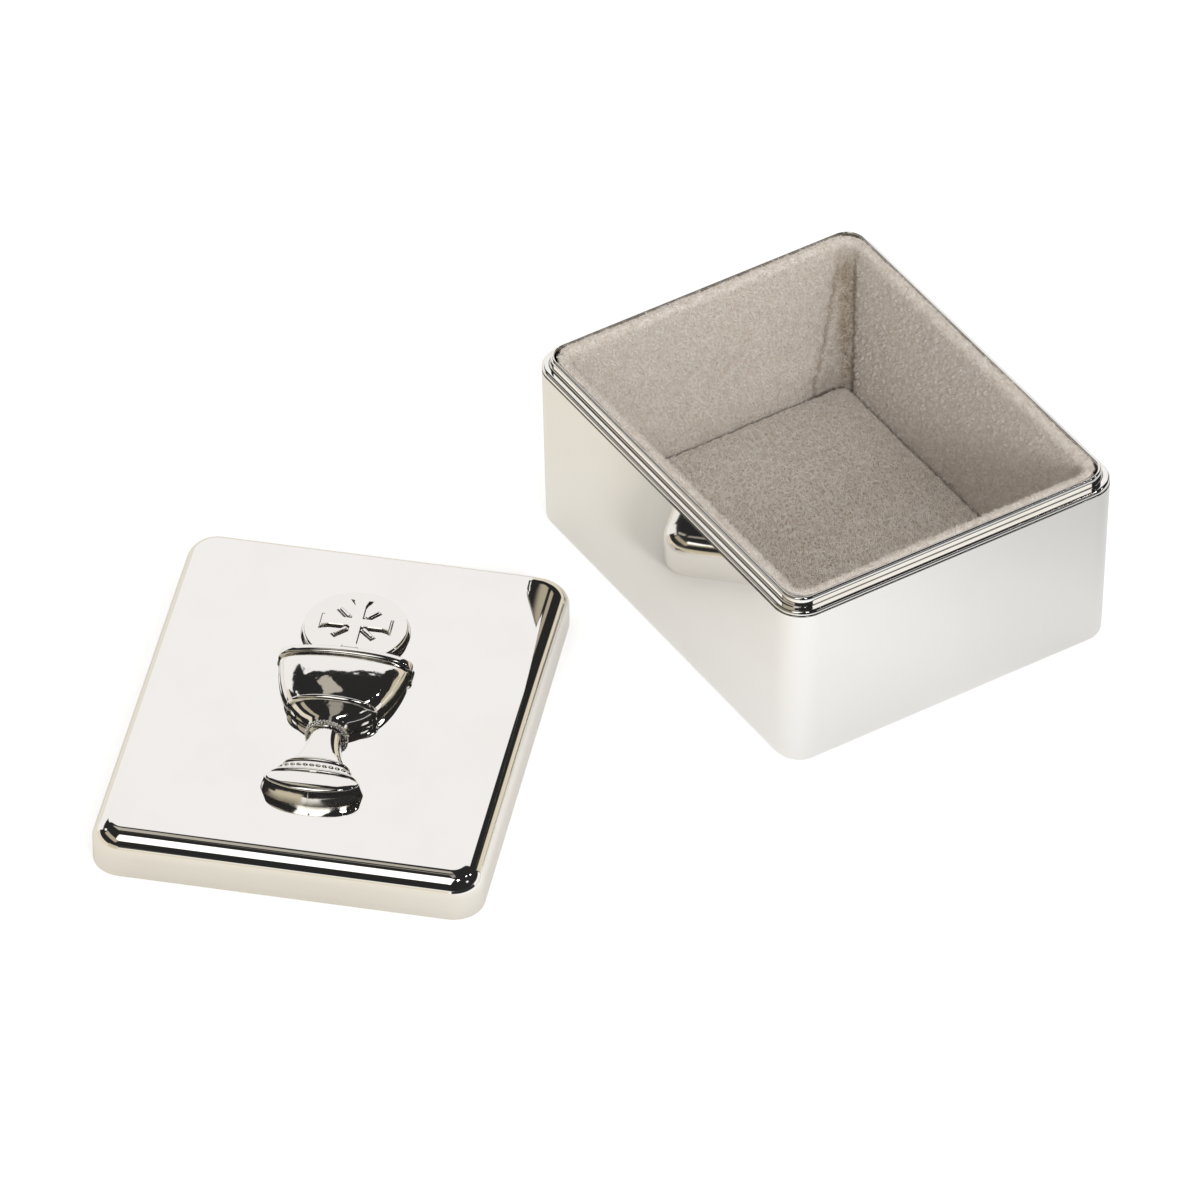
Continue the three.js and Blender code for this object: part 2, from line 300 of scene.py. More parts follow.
@dataclass(frozen=True)
class CastSilver(Finish):
    """The relief's plated casting: bright and finely uneven, with blotchy painted shade in its hollows."""

    colour: Colour = (0.92, 0.90, 0.87)
    # Painted shade in the hollows and where the casting meets the lid.
    hollow_shade_colour: Colour = (0.13, 0.11, 0.08)
    roughness: float = 0.06
    hollow_roughness: float = 0.3
    shade_blotch_size: float = 1.6 * MM
    shade_blotch_range: Pair = (0.3, 0.6)
    least_shade_blotch: float = 0.5
    skin_size: float = 0.7 * MM
    skin_height: float = 0.004 * MM
    wave_size: float = 2.6 * MM
    wave_height: float = 0.10 * MM

    def surface(self, graph: NodeGraph, place: Socket) -> dict:
        """Draws the surface.

        Args:
            graph: the material's graph.
            place: the object's own coordinates.

        Returns:
            The Principled shader's inputs.
        """
        # The painted shade is broken into blotches by noise.
        shade_blotches = graph.noise(place, self.shade_blotch_size, detail=4.0)
        share = graph.spread(shade_blotches, *self.shade_blotch_range, (self.least_shade_blotch, 1.0))
        painted_hollow_shade = graph.math("MULTIPLY", graph.shader_mark(Mark.HOLLOW_SHADE), share)
        waves = graph.noise(place, self.wave_size, detail=1.5)
        wavy = graph.bump(self.wave_height, graph.math("MULTIPLY", waves, graph.shader_mark(Mark.WAVE)))
        return {
            "Base Color": graph.blend(painted_hollow_shade, self.colour, self.hollow_shade_colour),
            "Metallic": 1.0,
            "Roughness": graph.spread(painted_hollow_shade, 0.0, 1.0, (self.roughness, self.hollow_roughness)),
            "Normal": graph.bump(self.skin_height, graph.noise(place, self.skin_size), Normal=wavy),
        }


@dataclass(frozen=True)
class Velour(Finish):
    """Short-pile cloth, with painted shade toward the tufts' roots, between clumps, and in folds and seams.
    """

    colour: Colour = (0.85, 0.815, 0.775)
    cool_colour: Colour = (0.835, 0.81, 0.785)
    # Painted shade: the root colour for low pile, the crease colour for folds and seams.
    root_shade_colour: Colour = (0.56, 0.48, 0.395)
    crease_shade_colour: Colour = (0.33, 0.26, 0.185)
    roughness: float = 0.95
    sheen: float = 0.25
    sheen_roughness: float = 0.5
    patch_size: float = 11 * MM
    patch_range: Pair = (0.35, 0.65)
    fleck_size: float = 0.45 * MM
    fleck_range: Pair = (0.3, 0.7)
    fleck_shade: float = 0.18
    crease_reach: float = 1.35

    def surface(self, graph: NodeGraph, place: Socket) -> dict:
        """Draws the surface.

        Args:
            graph: the material's graph.
            place: the object's own coordinates.

        Returns:
            The Principled shader's inputs.
        """
        patches = graph.spread(graph.noise(place, self.patch_size), *self.patch_range)
        tone = graph.blend(patches, self.colour, self.cool_colour)
        # Painted shade: low clumps, creases between pebbles and tuft roots go toward the root shade colour.
        height = graph.math("MULTIPLY", graph.shader_mark(Mark.CLUMP), graph.shader_mark(Mark.TIP))
        flecks = graph.noise(place, self.fleck_size, detail=3.0)
        shades = graph.spread(flecks, *self.fleck_range, (-self.fleck_shade, self.fleck_shade))
        lifted = graph.math("ADD", height, shades)
        # Painted shade in the folds and along the floor seam, deeper where the pile is low.
        sunk = graph.math("SUBTRACT", self.crease_reach, lifted)
        painted_crease_shade = graph.math("MULTIPLY", graph.shader_mark(Mark.CREASE), sunk)
        pile = graph.blend(lifted, self.root_shade_colour, tone)
        return {
            "Base Color": graph.blend(painted_crease_shade, pile, self.crease_shade_colour),
            "Roughness": self.roughness,
            "Sheen Weight": self.sheen,
            "Sheen Roughness": self.sheen_roughness,
        }


@dataclass(frozen=True)
class Greyboard(Finish):
    """Plain pressed card with darker and lighter fibres."""

    colour: Colour = (0.42, 0.38, 0.33)
    fibre_colour: Colour = (0.55, 0.51, 0.45)
    fibre_size: float = 0.6 * MM
    fibre_range: Pair = (0.4, 0.7)
    fibre_height: float = 0.05 * MM
    roughness: float = 0.9

    def surface(self, graph: NodeGraph, place: Socket) -> dict:
        """Draws the surface.

        Args:
            graph: the material's graph.
            place: the object's own coordinates.

        Returns:
            The Principled shader's inputs.
        """
        fibres = graph.noise(place, self.fibre_size, detail=6.0)
        share = graph.spread(fibres, *self.fibre_range)
        return {
            "Base Color": graph.blend(share, self.colour, self.fibre_colour),
            "Roughness": self.roughness,
            "Normal": graph.bump(self.fibre_height, fibres),
        }


@dataclass
class Finishes:
    """The object's finishes, each made into a material once."""

    plate: PolishedSilver = PolishedSilver("silver_plate", Slot.SILVER_PLATE)
    cast: CastSilver = CastSilver("cast_silver", Slot.CAST_SILVER)
    pile: Velour = Velour("velour", Slot.VELOUR)
    card: Greyboard = Greyboard("greyboard", Slot.GREYBOARD)
    made: dict[str, bpy.types.Material] = field(default_factory=dict)

    def material(self, finish: Finish) -> bpy.types.Material:
        """Looks up a finish's material, and builds it the first time.

        Args:
            finish: the finish.

        Returns:
            The material.
        """
        if finish.name not in self.made:
            self.made[finish.name] = finish.material()
        return self.made[finish.name]

    def dress(self, piece: Piece, finish: Finish) -> None:
        """Gives a piece one finish.

        Args:
            piece: the mesh object.
            finish: what it is made of.
        """
        piece.data.materials.clear()
        piece.data.materials.append(self.material(finish))

    def dress_node(self, node: str, finish: Finish) -> None:
        """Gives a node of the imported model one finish.

        Args:
            node: its name.
            finish: what it is made of.
        """
        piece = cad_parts[node]
        for material_slot in piece.material_slots:
            material_slot.material = self.material(finish)


class Section:
    """A section's outline, as points of inset from the plan's outline and of height."""

    GUARD = 0.08 * MM
    LEAST_GUARDED = 6 * GUARD
    ARC_STEPS = 12

    def __init__(self, inset: float, height: float) -> None:
        """Starts the outline at a point."""
        self.points = [(inset, height)]

    def line(self, inset: float, height: float, pieces: int = 1) -> "Section":
        """Adds a straight stretch, whose ends get close extra points so that it shades flat.

        Args:
            inset: the end's inset.
            height: the end's height.
            pieces: how many even pieces it is cut into.

        Returns:
            The section itself.
        """
        start = Vector(self.points[-1])
        end = Vector((inset, height))
        length = (end - start).length
        guard = self.GUARD / length if length > self.LEAST_GUARDED else 0.0
        shares = np.linspace(0, 1, pieces + 1)[1:-1].tolist()
        if guard:
            shares = [guard, *(s for s in shares if guard < s < 1 - guard), 1 - guard]
        self.points += [tuple(start.lerp(end, share)) for share in shares]
        self.points.append((inset, height))
        return self

    def arc(self, centre: Pair, radii: Pair, turn: Pair, steps: int = ARC_STEPS) -> "Section":
        """Adds an arc of a circle or ellipse, without its first point.

        Args:
            centre: inset and height of its centre.
            radii: its half sizes along inset and height.
            turn: its first and last angle in degrees, from the inset's direction.
            steps: how many pieces it has.

        Returns:
            The section itself.
        """
        for angle in np.radians(np.linspace(*turn, steps + 1)[1:]):
            inset = centre[0] + radii[0] * math.cos(angle)
            self.points.append((inset, centre[1] + radii[1] * math.sin(angle)))
        return self


@dataclass(frozen=True)
class RoundedOutline:
    """A plan outline: a rectangle with round corners, anticlockwise from above."""

    half_x: float
    half_y: float
    corner: float
    least_corner: float = 0.6 * MM
    corner_steps: int = 18
    side_pieces: tuple[int, int] = (1, 1)
    guard: float = Section.GUARD

    def ring(self, inset: float, height: float) -> list[Vector]:
        """Draws the outline moved in by an inset.

        Args:
            inset: how far it is moved in.
            height: its level.

        Returns:
            Its points, as many for each inset.
        """
        radius = max(self.corner - inset, self.least_corner)
        points = []
        for corner in range(4):
            start = math.pi / 2 * corner
            sign_x = 1 if corner in (0, 3) else -1
            sign_y = 1 if corner in (0, 1) else -1
            middle = Vector((sign_x * (self.half_x - inset - radius),
                             sign_y * (self.half_y - inset - radius), height))
            into = Vector((math.sin(start), -math.cos(start), 0)) * self.guard
            out_of = Vector((-math.cos(start), -math.sin(start), 0)) * self.guard
            arc = [middle + radius * Vector((math.cos(a), math.sin(a), 0))
                   for a in np.linspace(start, start + math.pi / 2, self.corner_steps + 1)]
            points += [arc[0] + into, *arc, arc[-1] + out_of]
            points += self.side(corner, points[-1], inset, radius)
        return points

    def side(self, corner: int, start: Vector, inset: float, radius: float) -> list[Vector]:
        """Draws the points between two corners.

        Args:
            corner: the number of the corner before the side.
            start: the side's first point, which is left out.
            inset: how far the outline is moved in.
            radius: the corners' radius.

        Returns:
            The points inside the side.
        """
        along_x = corner in (0, 2)
        half = self.half_x if along_x else self.half_y
        length = 2 * (half - inset - radius - self.guard)
        direction = Vector(((-1, 0, 0), (0, -1, 0), (1, 0, 0), (0, 1, 0))[corner])
        pieces = self.side_pieces[0 if along_x else 1]
        return [start + direction * (length * step / pieces) for step in range(1, pieces)]


class MeshMaker:
    """Turns rings of points into finished mesh objects."""

    SHARP = math.radians(32)

    @staticmethod
    def loft(name: str, rings: Sequence[Sequence[Vector]], ends_meet: bool) -> Piece:
        """Skins rings of equal count.

        Args:
            name: the piece's name.
            rings: the rings, in order.
            ends_meet: whether the last ring joins the first; otherwise both ends are closed.

        Returns:
            The new object.
        """
        if not ends_meet:
            rings = [MeshMaker.inside(rings[0]), *rings, MeshMaker.inside(rings[-1])]
        size = len(rings[0])
        points = [point for ring in rings for point in ring]
        faces = []
        for band in range(len(rings) if ends_meet else len(rings) - 1):
            low = band * size
            high = (band + 1) % len(rings) * size
            faces += [(low + i, low + (i + 1) % size, high + (i + 1) % size, high + i) for i in range(size)]
        if not ends_meet:
            last = (len(rings) - 1) * size
            hub = len(points)
            points += [MeshMaker.middle(rings[0]), MeshMaker.middle(rings[-1])]
            faces += [(hub, (i + 1) % size, i) for i in range(size)]
            faces += [(hub + 1, last + i, last + (i + 1) % size) for i in range(size)]
        mesh = bpy.data.meshes.new(name)
        mesh.from_pydata(points, [], faces)
        return MeshMaker.finish(name, mesh)

    @staticmethod
    def middle(ring: Sequence[Vector]) -> Vector:
        """Returns the mean of a ring's points."""
        return sum(ring, Vector()) / len(ring)

    @staticmethod
    def inside(ring: Sequence[Vector]) -> list[Vector]:
        """Returns a ring just inside another, which keeps the face that closes it flat."""
        middle = MeshMaker.middle(ring)
        return [point.lerp(middle, min(Section.GUARD / (middle - point).length, 0.5)) for point in ring]

    @staticmethod
    def finish(name: str, mesh: bpy.types.Mesh) -> Piece:
        """Smooths a mesh's shading except at its edges, and links an object that holds it.

        Args:
            name: the object's name.
            mesh: its mesh.

        Returns:
            The new object.
        """
        mesh.shade_smooth()
        mesh.set_sharp_from_angle(angle=MeshMaker.SHARP)
        return link(name, mesh)

    @staticmethod
    def sweep(name: str, plan: RoundedOutline, section: Section, ends_meet: bool = False) -> Piece:
        """Carries a section, whose ends may meet, round a plan outline."""
        rings = [plan.ring(inset, height) for inset, height in section.points]
        return MeshMaker.loft(name, rings, ends_meet)

    @staticmethod
    def mark(piece: Piece, mark: Mark, values: Sequence[float]) -> None:
        """Stores one number for each vertex as a mark."""
        attribute = piece.data.attributes.new(mark.value, "FLOAT", "POINT")
        attribute.data.foreach_set("value", np.asarray(values, np.float32))

    @staticmethod
    def mark_pile(piece: Piece, shown: slice, tip: float) -> np.ndarray:
        """Marks which vertices of a cloth are pile, and how much painted root shade its ground gets.

        Args:
            piece: the cloth.
            shown: the vertices that are pile.
            tip: the ground's place between a tuft's painted root shade and its tip.

        Returns:
            1 at each vertex that is pile, and 0 elsewhere.
        """
        nap = np.zeros(len(piece.data.vertices))
        nap[shown] = 1
        MeshMaker.mark(piece, Mark.NAP, nap)
        MeshMaker.mark(piece, Mark.TIP, np.full(len(nap), tip))
        return nap

    @staticmethod
    def places(piece: Piece) -> np.ndarray:
        """Reads where the vertices are.

        Args:
            piece: the mesh object.

        Returns:
            Their places, as rows of three numbers.
        """
        flat = np.empty(3 * len(piece.data.vertices), np.float32)
        piece.data.vertices.foreach_get("co", flat)
        return flat.reshape(-1, 3).astype(float)

    @staticmethod
    def move_vertices(piece: Piece, places: np.ndarray) -> None:
        """Sets the vertices' places from rows of three numbers."""
        piece.data.vertices.foreach_set("co", places.astype(np.float32).ravel())
        piece.data.update()


class GeometryTree:
    """A Geometry Nodes tree with named inputs, run once on a piece and then made plain mesh."""

    SOCKETS = {float: "NodeSocketFloat", int: "NodeSocketInt"}

    def __init__(self, name: str, inputs: dict[str, float | int]) -> None:
        """Starts the tree.

        Args:
            name: the tree's name.
            inputs: names and usual values of its sizes.
        """
        self.tree = bpy.data.node_groups.new(name, "GeometryNodeTree")
        self.graph = NodeGraph(self.tree)
        self.tree.interface.new_socket("Geometry", in_out="INPUT", socket_type="NodeSocketGeometry")
        for key, value in inputs.items():
            kind = self.SOCKETS[type(value)]
            self.tree.interface.new_socket(key, in_out="INPUT", socket_type=kind).default_value = value
        self.tree.interface.new_socket("Material", in_out="INPUT", socket_type="NodeSocketMaterial")
        self.tree.interface.new_socket("Geometry", in_out="OUTPUT", socket_type="NodeSocketGeometry")
        self.given = self.graph.add("NodeGroupInput").outputs

    def end(self, shape: object) -> None:
        """Ends the tree with real geometry that holds the material.

        Args:
            shape: the geometry.
        """
        real = self.graph.add("GeometryNodeRealizeInstances", {"Geometry": shape})
        inputs = {"Geometry": real, "Material": self.given["Material"]}
        dressed = self.graph.add("GeometryNodeSetMaterial", inputs)
        self.graph.add("NodeGroupOutput", {"Geometry": dressed})

    def end_with_copies(self, points: object, shape: object, turn: object, scale: object) -> None:
        """Ends the tree with a turned and scaled copy of a shape at each point."""
        inputs = {"Points": points, "Instance": shape, "Rotation": turn, "Scale": scale}
        self.end(self.graph.add("GeometryNodeInstanceOnPoints", inputs))

    def run(self, piece: Piece, material: bpy.types.Material, **sizes: float) -> None:
        """Runs the tree on a piece, whose mesh becomes the result.

        Args:
            piece: the mesh object that it starts from.
            material: what the result is made of.
            **sizes: inputs that differ from their usual values, with _ for a space.
        """
        modifier = piece.modifiers.new(self.tree.name, "NODES")
        modifier.node_group = self.tree
        found = {item.name: item.identifier for item in self.tree.interface.items_tree
                 if item.in_out == "INPUT"}
        for key, value in sizes.items():
            modifier[found[key.replace("_", " ")]] = value
        modifier[found["Material"]] = material
        depsgraph = bpy.context.evaluated_depsgraph_get()
        result = bpy.data.meshes.new_from_object(
            piece.evaluated_get(depsgraph), preserve_all_data_layers=True, depsgraph=depsgraph
        )
        piece.modifiers.clear()
        piece.data = result


class MattedCloth(GeometryTree):
    """Pushes a cloth's surface in and out in soft clumps and stores their height, for painted shade."""

    CLUMP_RANGE = (0.3, 0.6)
    CLUMP_SHADES = (0.5, 1.0)

    def __init__(self) -> None:
        """Builds the tree."""
        super().__init__("matted_cloth", {
            "Clump Size": 1.1 * MM, "Clump Height": 0.3 * MM, "Swell Size": 9 * MM, "Swell Height": 0.35 * MM,
        })
        graph, given = self.graph, self.given
        place = graph.add("GeometryNodeInputPosition")
        clump = graph.noise(place, given["Clump Size"])
        swell = graph.noise(place, given["Swell Size"], detail=1.0)
        lifts = [graph.math("MULTIPLY", graph.math("SUBTRACT", noise, 0.5), given[size])
                 for noise, size in ((clump, "Clump Height"), (swell, "Swell Height"))]
        lift = graph.math("MULTIPLY", graph.math("ADD", *lifts), graph.mesh_mark(Mark.NAP))
        offset = graph.vector("SCALE", {0: graph.add("GeometryNodeInputNormal"), "Scale": lift})
        moved = graph.add("GeometryNodeSetPosition", {"Geometry": given["Geometry"], "Offset": offset})
        # The stored clump height gives the velour its painted shade in the low clumps.
        self.end(graph.store(moved, Mark.CLUMP, graph.spread(clump, *self.CLUMP_RANGE, self.CLUMP_SHADES)))


class Nap(GeometryTree):
    """Sets tufts on a cloth's surface, matted into pebbles with creases between them."""

    TUFT_SIZES = (0.6, 1.3)
    TIP_SHADES = (0.6, 1.05)
    CREASE_RANGE = (0.02, 0.3)
    PRESSED = 0.25
    FULL_LEAN = 4.0

    def __init__(self) -> None:
        """Builds the tree."""
        super().__init__("nap", {
            "Density": 3e7, "Length": 0.4 * MM, "Width": 0.125 * MM, "Lean": 0.6, "Sweep Size": 1.1 * MM,
            "Droop": 0.0, "Pebble Size": 1.05 * MM, "Crease Depth": 0.5, "Seed": 7,
        })
        graph, given = self.graph, self.given
        spots = graph.add("GeometryNodeDistributePointsOnFaces", {
            "Mesh": given["Geometry"], "Seed": given["Seed"],
            "Density": graph.math("MULTIPLY", graph.mesh_mark(Mark.NAP), given["Density"]),
        }).outputs
        height = self.pebbles()
        direction = graph.vector("ADD", {0: spots["Normal"], 1: self.sweep()})
        turned = graph.add("FunctionNodeAlignRotationToVector", {"Vector": direction}, axis="Z")
        low, high = self.TUFT_SIZES
        random = graph.add("FunctionNodeRandomValue", {2: low, 3: high, "Seed": given["Seed"]},
                           data_type="FLOAT")
        size = random.outputs[1]
        width = graph.math("MULTIPLY", given["Width"], size)
        length = graph.math("MULTIPLY", graph.math("MULTIPLY", given["Length"], size), height)
        scale = graph.add("ShaderNodeCombineXYZ", {"X": width, "Y": width, "Z": length})
        # The pebble height is stored too, so that the velour paints shade in the creases.
        marked = graph.store(spots["Points"], Mark.CLUMP, height)
        self.end_with_copies(marked, self.tuft(), turned, scale)

    def pebbles(self) -> Node:
        """Draws how high the pile stands: 1 on a pebble and lower in the creases round it.

        Returns:
            A node with the height at each point.
        """
        graph, given = self.graph, self.given
        place = graph.add("GeometryNodeInputPosition")
        fineness = graph.math("DIVIDE", 1.0, given["Pebble Size"])
        cells = graph.add("ShaderNodeTexVoronoi", {"Vector": place, "Scale": fineness},
                          feature="DISTANCE_TO_EDGE")
        node = graph.spread(cells.outputs["Distance"], *self.CREASE_RANGE)
        graph.put(node.inputs["To Min"], graph.math("SUBTRACT", 1.0, given["Crease Depth"]))
        press = graph.math("MULTIPLY", graph.mesh_mark(Mark.CREASE), self.PRESSED)
        return graph.math("MULTIPLY", node, graph.math("SUBTRACT", 1.0, press))

    def sweep(self) -> Node:
        """Draws which way the pile has been brushed at each place.

        Returns:
            A node with the vector that tips the tufts.
        """
        graph, given = self.graph, self.given
        swirl = graph.noise(graph.add("GeometryNodeInputPosition"), given["Sweep Size"]).outputs["Color"]
        middle = graph.vector("SUBTRACT", {0: swirl, 1: (0.5, 0.5, 0.5)})
        lean = graph.math("MULTIPLY", given["Lean"], self.FULL_LEAN)
        leaning = graph.vector("SCALE", {0: middle, "Scale": lean})
        drooping = graph.add("ShaderNodeCombineXYZ", {"Z": given["Droop"]})
        return graph.vector("ADD", {0: leaning, 1: drooping})

    def tuft(self) -> Node:
        """Draws one tuft, a unit three-sided spike that knows its tip from its root, for painted root shade.

        Returns:
            A node with its geometry.
        """
        graph = self.graph
        cone = graph.add("GeometryNodeMeshCone", {
            "Vertices": 3, "Radius Top": 0.0, "Radius Bottom": 0.5, "Depth": 1.0,
        }, fill_type="NONE")
        height = graph.add("ShaderNodeSeparateXYZ", {0: graph.add("GeometryNodeInputPosition")}).outputs["Z"]
        return graph.store(cone.outputs["Mesh"], Mark.TIP, graph.spread(height, 0.0, 1.0, self.TIP_SHADES))


class TwistedLays(GeometryTree):
    """Lays small slanted beads side by side along a line, as the strands of a rope show."""

    def __init__(self) -> None:
        """Builds the tree."""
        super().__init__("twisted_lays", {
            "Count": 16, "Length": 1.5 * MM, "Width": 0.6 * MM, "Height": 0.5 * MM, "Slant": 0.6,
        })
        graph, given = self.graph, self.given
        line = graph.add("GeometryNodeMeshToCurve", {"Mesh": given["Geometry"]})
        even = graph.add("GeometryNodeResampleCurve", {"Curve": line, "Count": given["Count"]})
        tangent = graph.add("GeometryNodeInputTangent")
        along = graph.add("FunctionNodeAlignRotationToVector", {"Vector": tangent}, axis="X")
        up = graph.mesh_mark(Mark.UP, "FLOAT_VECTOR")
        upright = graph.add("FunctionNodeAlignRotationToVector", {"Rotation": along, "Vector": up},
                            axis="Y", pivot_axis="X")
        across_face = {"Axis": (0.0, 0.0, 1.0), "Angle": given["Slant"]}
        slant = graph.add("FunctionNodeAxisAngleToRotation", across_face)
        turned = graph.add("FunctionNodeRotateRotation", {"Rotation": upright, "Rotate By": slant},
                           rotation_space="LOCAL")
        bead = graph.add("GeometryNodeMeshIcoSphere", {"Radius": 0.5, "Subdivisions": 3})
        smooth = graph.add("GeometryNodeSetShadeSmooth", {"Geometry": bead.outputs["Mesh"]})
        sizes = {"X": given["Width"], "Y": given["Length"], "Z": given["Height"]}
        self.end_with_copies(even, smooth, turned, graph.add("ShaderNodeCombineXYZ", sizes))


@dataclass
class BoxBody:
    """The cast body with its ledge, and the collar strip soldered inside it."""

    finishes: Finishes
    wall: float = 1.95 * MM
    floor: float = 1.6 * MM
    draft: float = math.radians(1.1)
    corner: float = 4.8 * MM
    underside_round: float = 1.1 * MM
    shoulder_round: float = 0.52 * MM
    groove: float = 0.2 * MM
    groove_fade: float = 1.8
    collar: float = 0.6 * MM
    collar_seat: float = 3 * MM
    solder_gap: float = 0.1 * MM
    solder_fillet: float = 0.32 * MM
    least_solder: float = 0.15
    solder_root: float = 0.05 * MM
    solder_lift: float = 0.01 * MM
    # Painted shade at the solder fillet: its strength and how far up it reaches.
    solder_shade: float = 0.8
    shade_reach: float = 0.1 * MM
    lip_round: float = 0.4 * MM
    plan: RoundedOutline = field(init=False)
    shoulder: float = field(init=False)
    collar_top: float = field(init=False)

    def __post_init__(self) -> None:
        """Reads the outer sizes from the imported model."""
        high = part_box("base_shell")[1]
        self.plan = RoundedOutline(high.x, high.y, self.corner)
        self.shoulder = high.z
        self.collar_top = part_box("base_collar")[1].z

    def lean(self, height: float) -> float:
        """Returns how far the drafted wall stands in at a height."""
        return (self.shoulder - height) * math.tan(self.draft)

    def shell_section(self) -> Section:
        """Draws the body's section, from under the floor over the ledge to the inner floor.

        Returns:
            The section.
        """
        ledge = self.wall - self.collar - self.solder_gap
        under, edge = self.underside_round, self.shoulder_round
        seat = self.shoulder - self.collar_seat
        section = Section(self.lean(under) + under, 0)
        section.arc((self.lean(under) + under, under), (under, under), (-90, -180))
        section.line(0, self.groove_height() - self.groove)
        section.arc((0, self.groove_height()), (self.groove, self.groove), (-90, 90), 6)
        section.arc((edge, self.shoulder - edge), (edge, edge), (180, 90))
        section.line(ledge, self.shoulder)
        section.line(ledge, seat)
        section.line(self.wall, seat)
        return section.line(self.wall + self.lean(self.floor), self.floor)

    def groove_height(self) -> float:
        """Returns the level of the groove turned under the body's upper edge."""
        return self.shoulder - self.shoulder_round - self.groove

    def collar_section(self) -> Section:
        """Draws the collar strip's section, with its solder fillet and its rounded lip.

        Returns:
            The section.
        """
        ledge, fillet = self.wall - self.collar, self.solder_fillet
        seat = self.shoulder - self.collar_seat
        solder = self.shoulder + self.solder_lift
        lip, inner_lip = self.lip_round, self.collar - self.lip_round
        section = Section(ledge, seat)
        section.line(ledge, self.shoulder - self.solder_root)
        section.line(ledge - fillet, solder)
        section.arc((ledge - fillet, solder + fillet), (fillet, fillet), (-90, 0), 8)
        section.line(ledge, self.collar_top - lip)
        section.arc((ledge + lip, self.collar_top - lip), (lip, lip), (180, 90))
        section.arc((ledge + lip, self.collar_top - inner_lip), (inner_lip, inner_lip), (90, 0), 8)
        return section.line(self.wall, seat)

    def thin_solder(self, collar: Piece) -> np.ndarray:
        """Thins the solder fillet at the collar's foot along the near side.

        Args:
            collar: the collar strip.

        Returns:
            How much solder is left at each vertex.
        """
        places = MeshMaker.places(collar)
        centres = np.sign(places[:, :2]) * (np.array([self.plan.half_x, self.plan.half_y]) - self.corner)
        out = places[:, :2] - centres
        reach = np.linalg.norm(out, axis=1)
        near = np.clip(-out[:, 1] / reach, 0, 1) ** 2
        left = 1 - (1 - self.least_solder) * near
        foot = self.corner - self.wall + self.collar
        above = places[:, 2] - self.shoulder
        slack = self.solder_lift
        solder = (above > 0) & (above < self.solder_fillet + 2 * slack) & (reach > foot - slack)
        places[:, :2] += np.where(solder, (left - 1) * (reach - foot) / reach, 0)[:, None] * out
        places[:, 2] += np.where(solder, (left - 1) * above, 0)
        MeshMaker.move_vertices(collar, places)
        return left

    def build(self) -> list[Piece]:
        """Builds the body and its collar.

        Returns:
            The two pieces.
        """
        shell = MeshMaker.sweep("box_shell", self.plan, self.shell_section())
        collar = MeshMaker.sweep("box_collar", self.plan, self.collar_section(), ends_meet=True)
        # Painted shade in the groove turned under the upper edge.
        above_groove = (MeshMaker.places(shell)[:, 2] - self.groove_height()) / self.groove
        MeshMaker.mark(shell, Mark.HOLLOW_SHADE, np.clip(2 - self.groove_fade * np.abs(above_groove), 0, 1))
        # Painted shade in the corner at the collar's foot, less where the solder is thin.
        solder = self.solder_shade * self.thin_solder(collar)
        above_solder = (MeshMaker.places(collar)[:, 2] - self.shoulder) / self.shade_reach
        MeshMaker.mark(collar, Mark.HOLLOW_SHADE, solder * np.exp(-np.abs(above_solder)))
        for piece, node in ((shell, "base_shell"), (collar, "base_collar")):
            self.finishes.dress(piece, self.finishes.plate)
            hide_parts(node)
            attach(piece, Body.BOX.value)
        return [shell, collar]


@dataclass(frozen=True)
class CornerFolds:
    """The folds of the wall cloth at its inner corners, the deepest at the far right one.

    Each has a crease beside the corner, with a sunk facet of cloth between the two; both get painted shade.
    """

    start: float = 1.0 * MM
    wave: float = 0.28 * MM
    wave_size: float = 0.75 * MM
    ripple: float = 0.7
    ripple_size: float = 0.31 * MM
    main_reach: float = 5.3 * MM
    other_reach: float = 0.6 * MM
    growth: float = 1.3
    edge: float = 1.1 * MM
    begin: float = 0.2
    other_strength: float = 0.4
    facet_depth: float = 0.9 * MM
    crease_depth: float = 0.5 * MM
    crease_width: float = 0.75 * MM
    corner_width: float = 2.2
    facet_shade: float = 0.35
    crease_shade: float = 0.7

    def fold(self, piece: Piece, half: np.ndarray, down: np.ndarray, nap: np.ndarray) -> np.ndarray:
        """Moves the cloth's vertices into the folds.

        Args:
            piece: the wall strip.
            half: the half sizes of its inner face.
            down: how far down each vertex is, from 0 at the top to 1.
            nap: which vertices are pile.

        Returns:
            How much painted shade the folds give each vertex.
        """
        places = MeshMaker.places(piece)
        away = np.abs(half - np.abs(places[:, :2]))
        on_x_wall = away[:, 0] < away[:, 1]
        from_corner = away.max(axis=1)
        main = (places[:, 0] > 0) & (places[:, 1] > 0)
        wavy = np.sin(places[:, 2] / self.wave_size) + self.ripple * np.sin(places[:, 2] / self.ripple_size)
        reach = self.start + self.wave * wavy * down
        reach += np.where(main & ~on_x_wall, self.main_reach, self.other_reach) * down**self.growth
        crease = np.exp(-(((from_corner - reach) / self.crease_width) ** 2))
        corner = np.exp(-((from_corner / (self.corner_width * self.crease_width)) ** 2))
        facet = 1 / (1 + np.exp(-(reach - from_corner) / self.edge))
        strength = np.where(main, 1.0, self.other_strength) * (np.clip(down / self.begin, 0, 1) * nap)
        depth = strength * (self.facet_depth * facet * down + self.crease_depth * crease)
        outward = np.where(on_x_wall[:, None], [1, 0], [0, 1]) * np.sign(places[:, :2])
        places[:, :2] += outward * depth[:, None]
        MeshMaker.move_vertices(piece, places)
        return strength * np.maximum.reduce([self.facet_shade * facet, self.crease_shade * crease, corner])


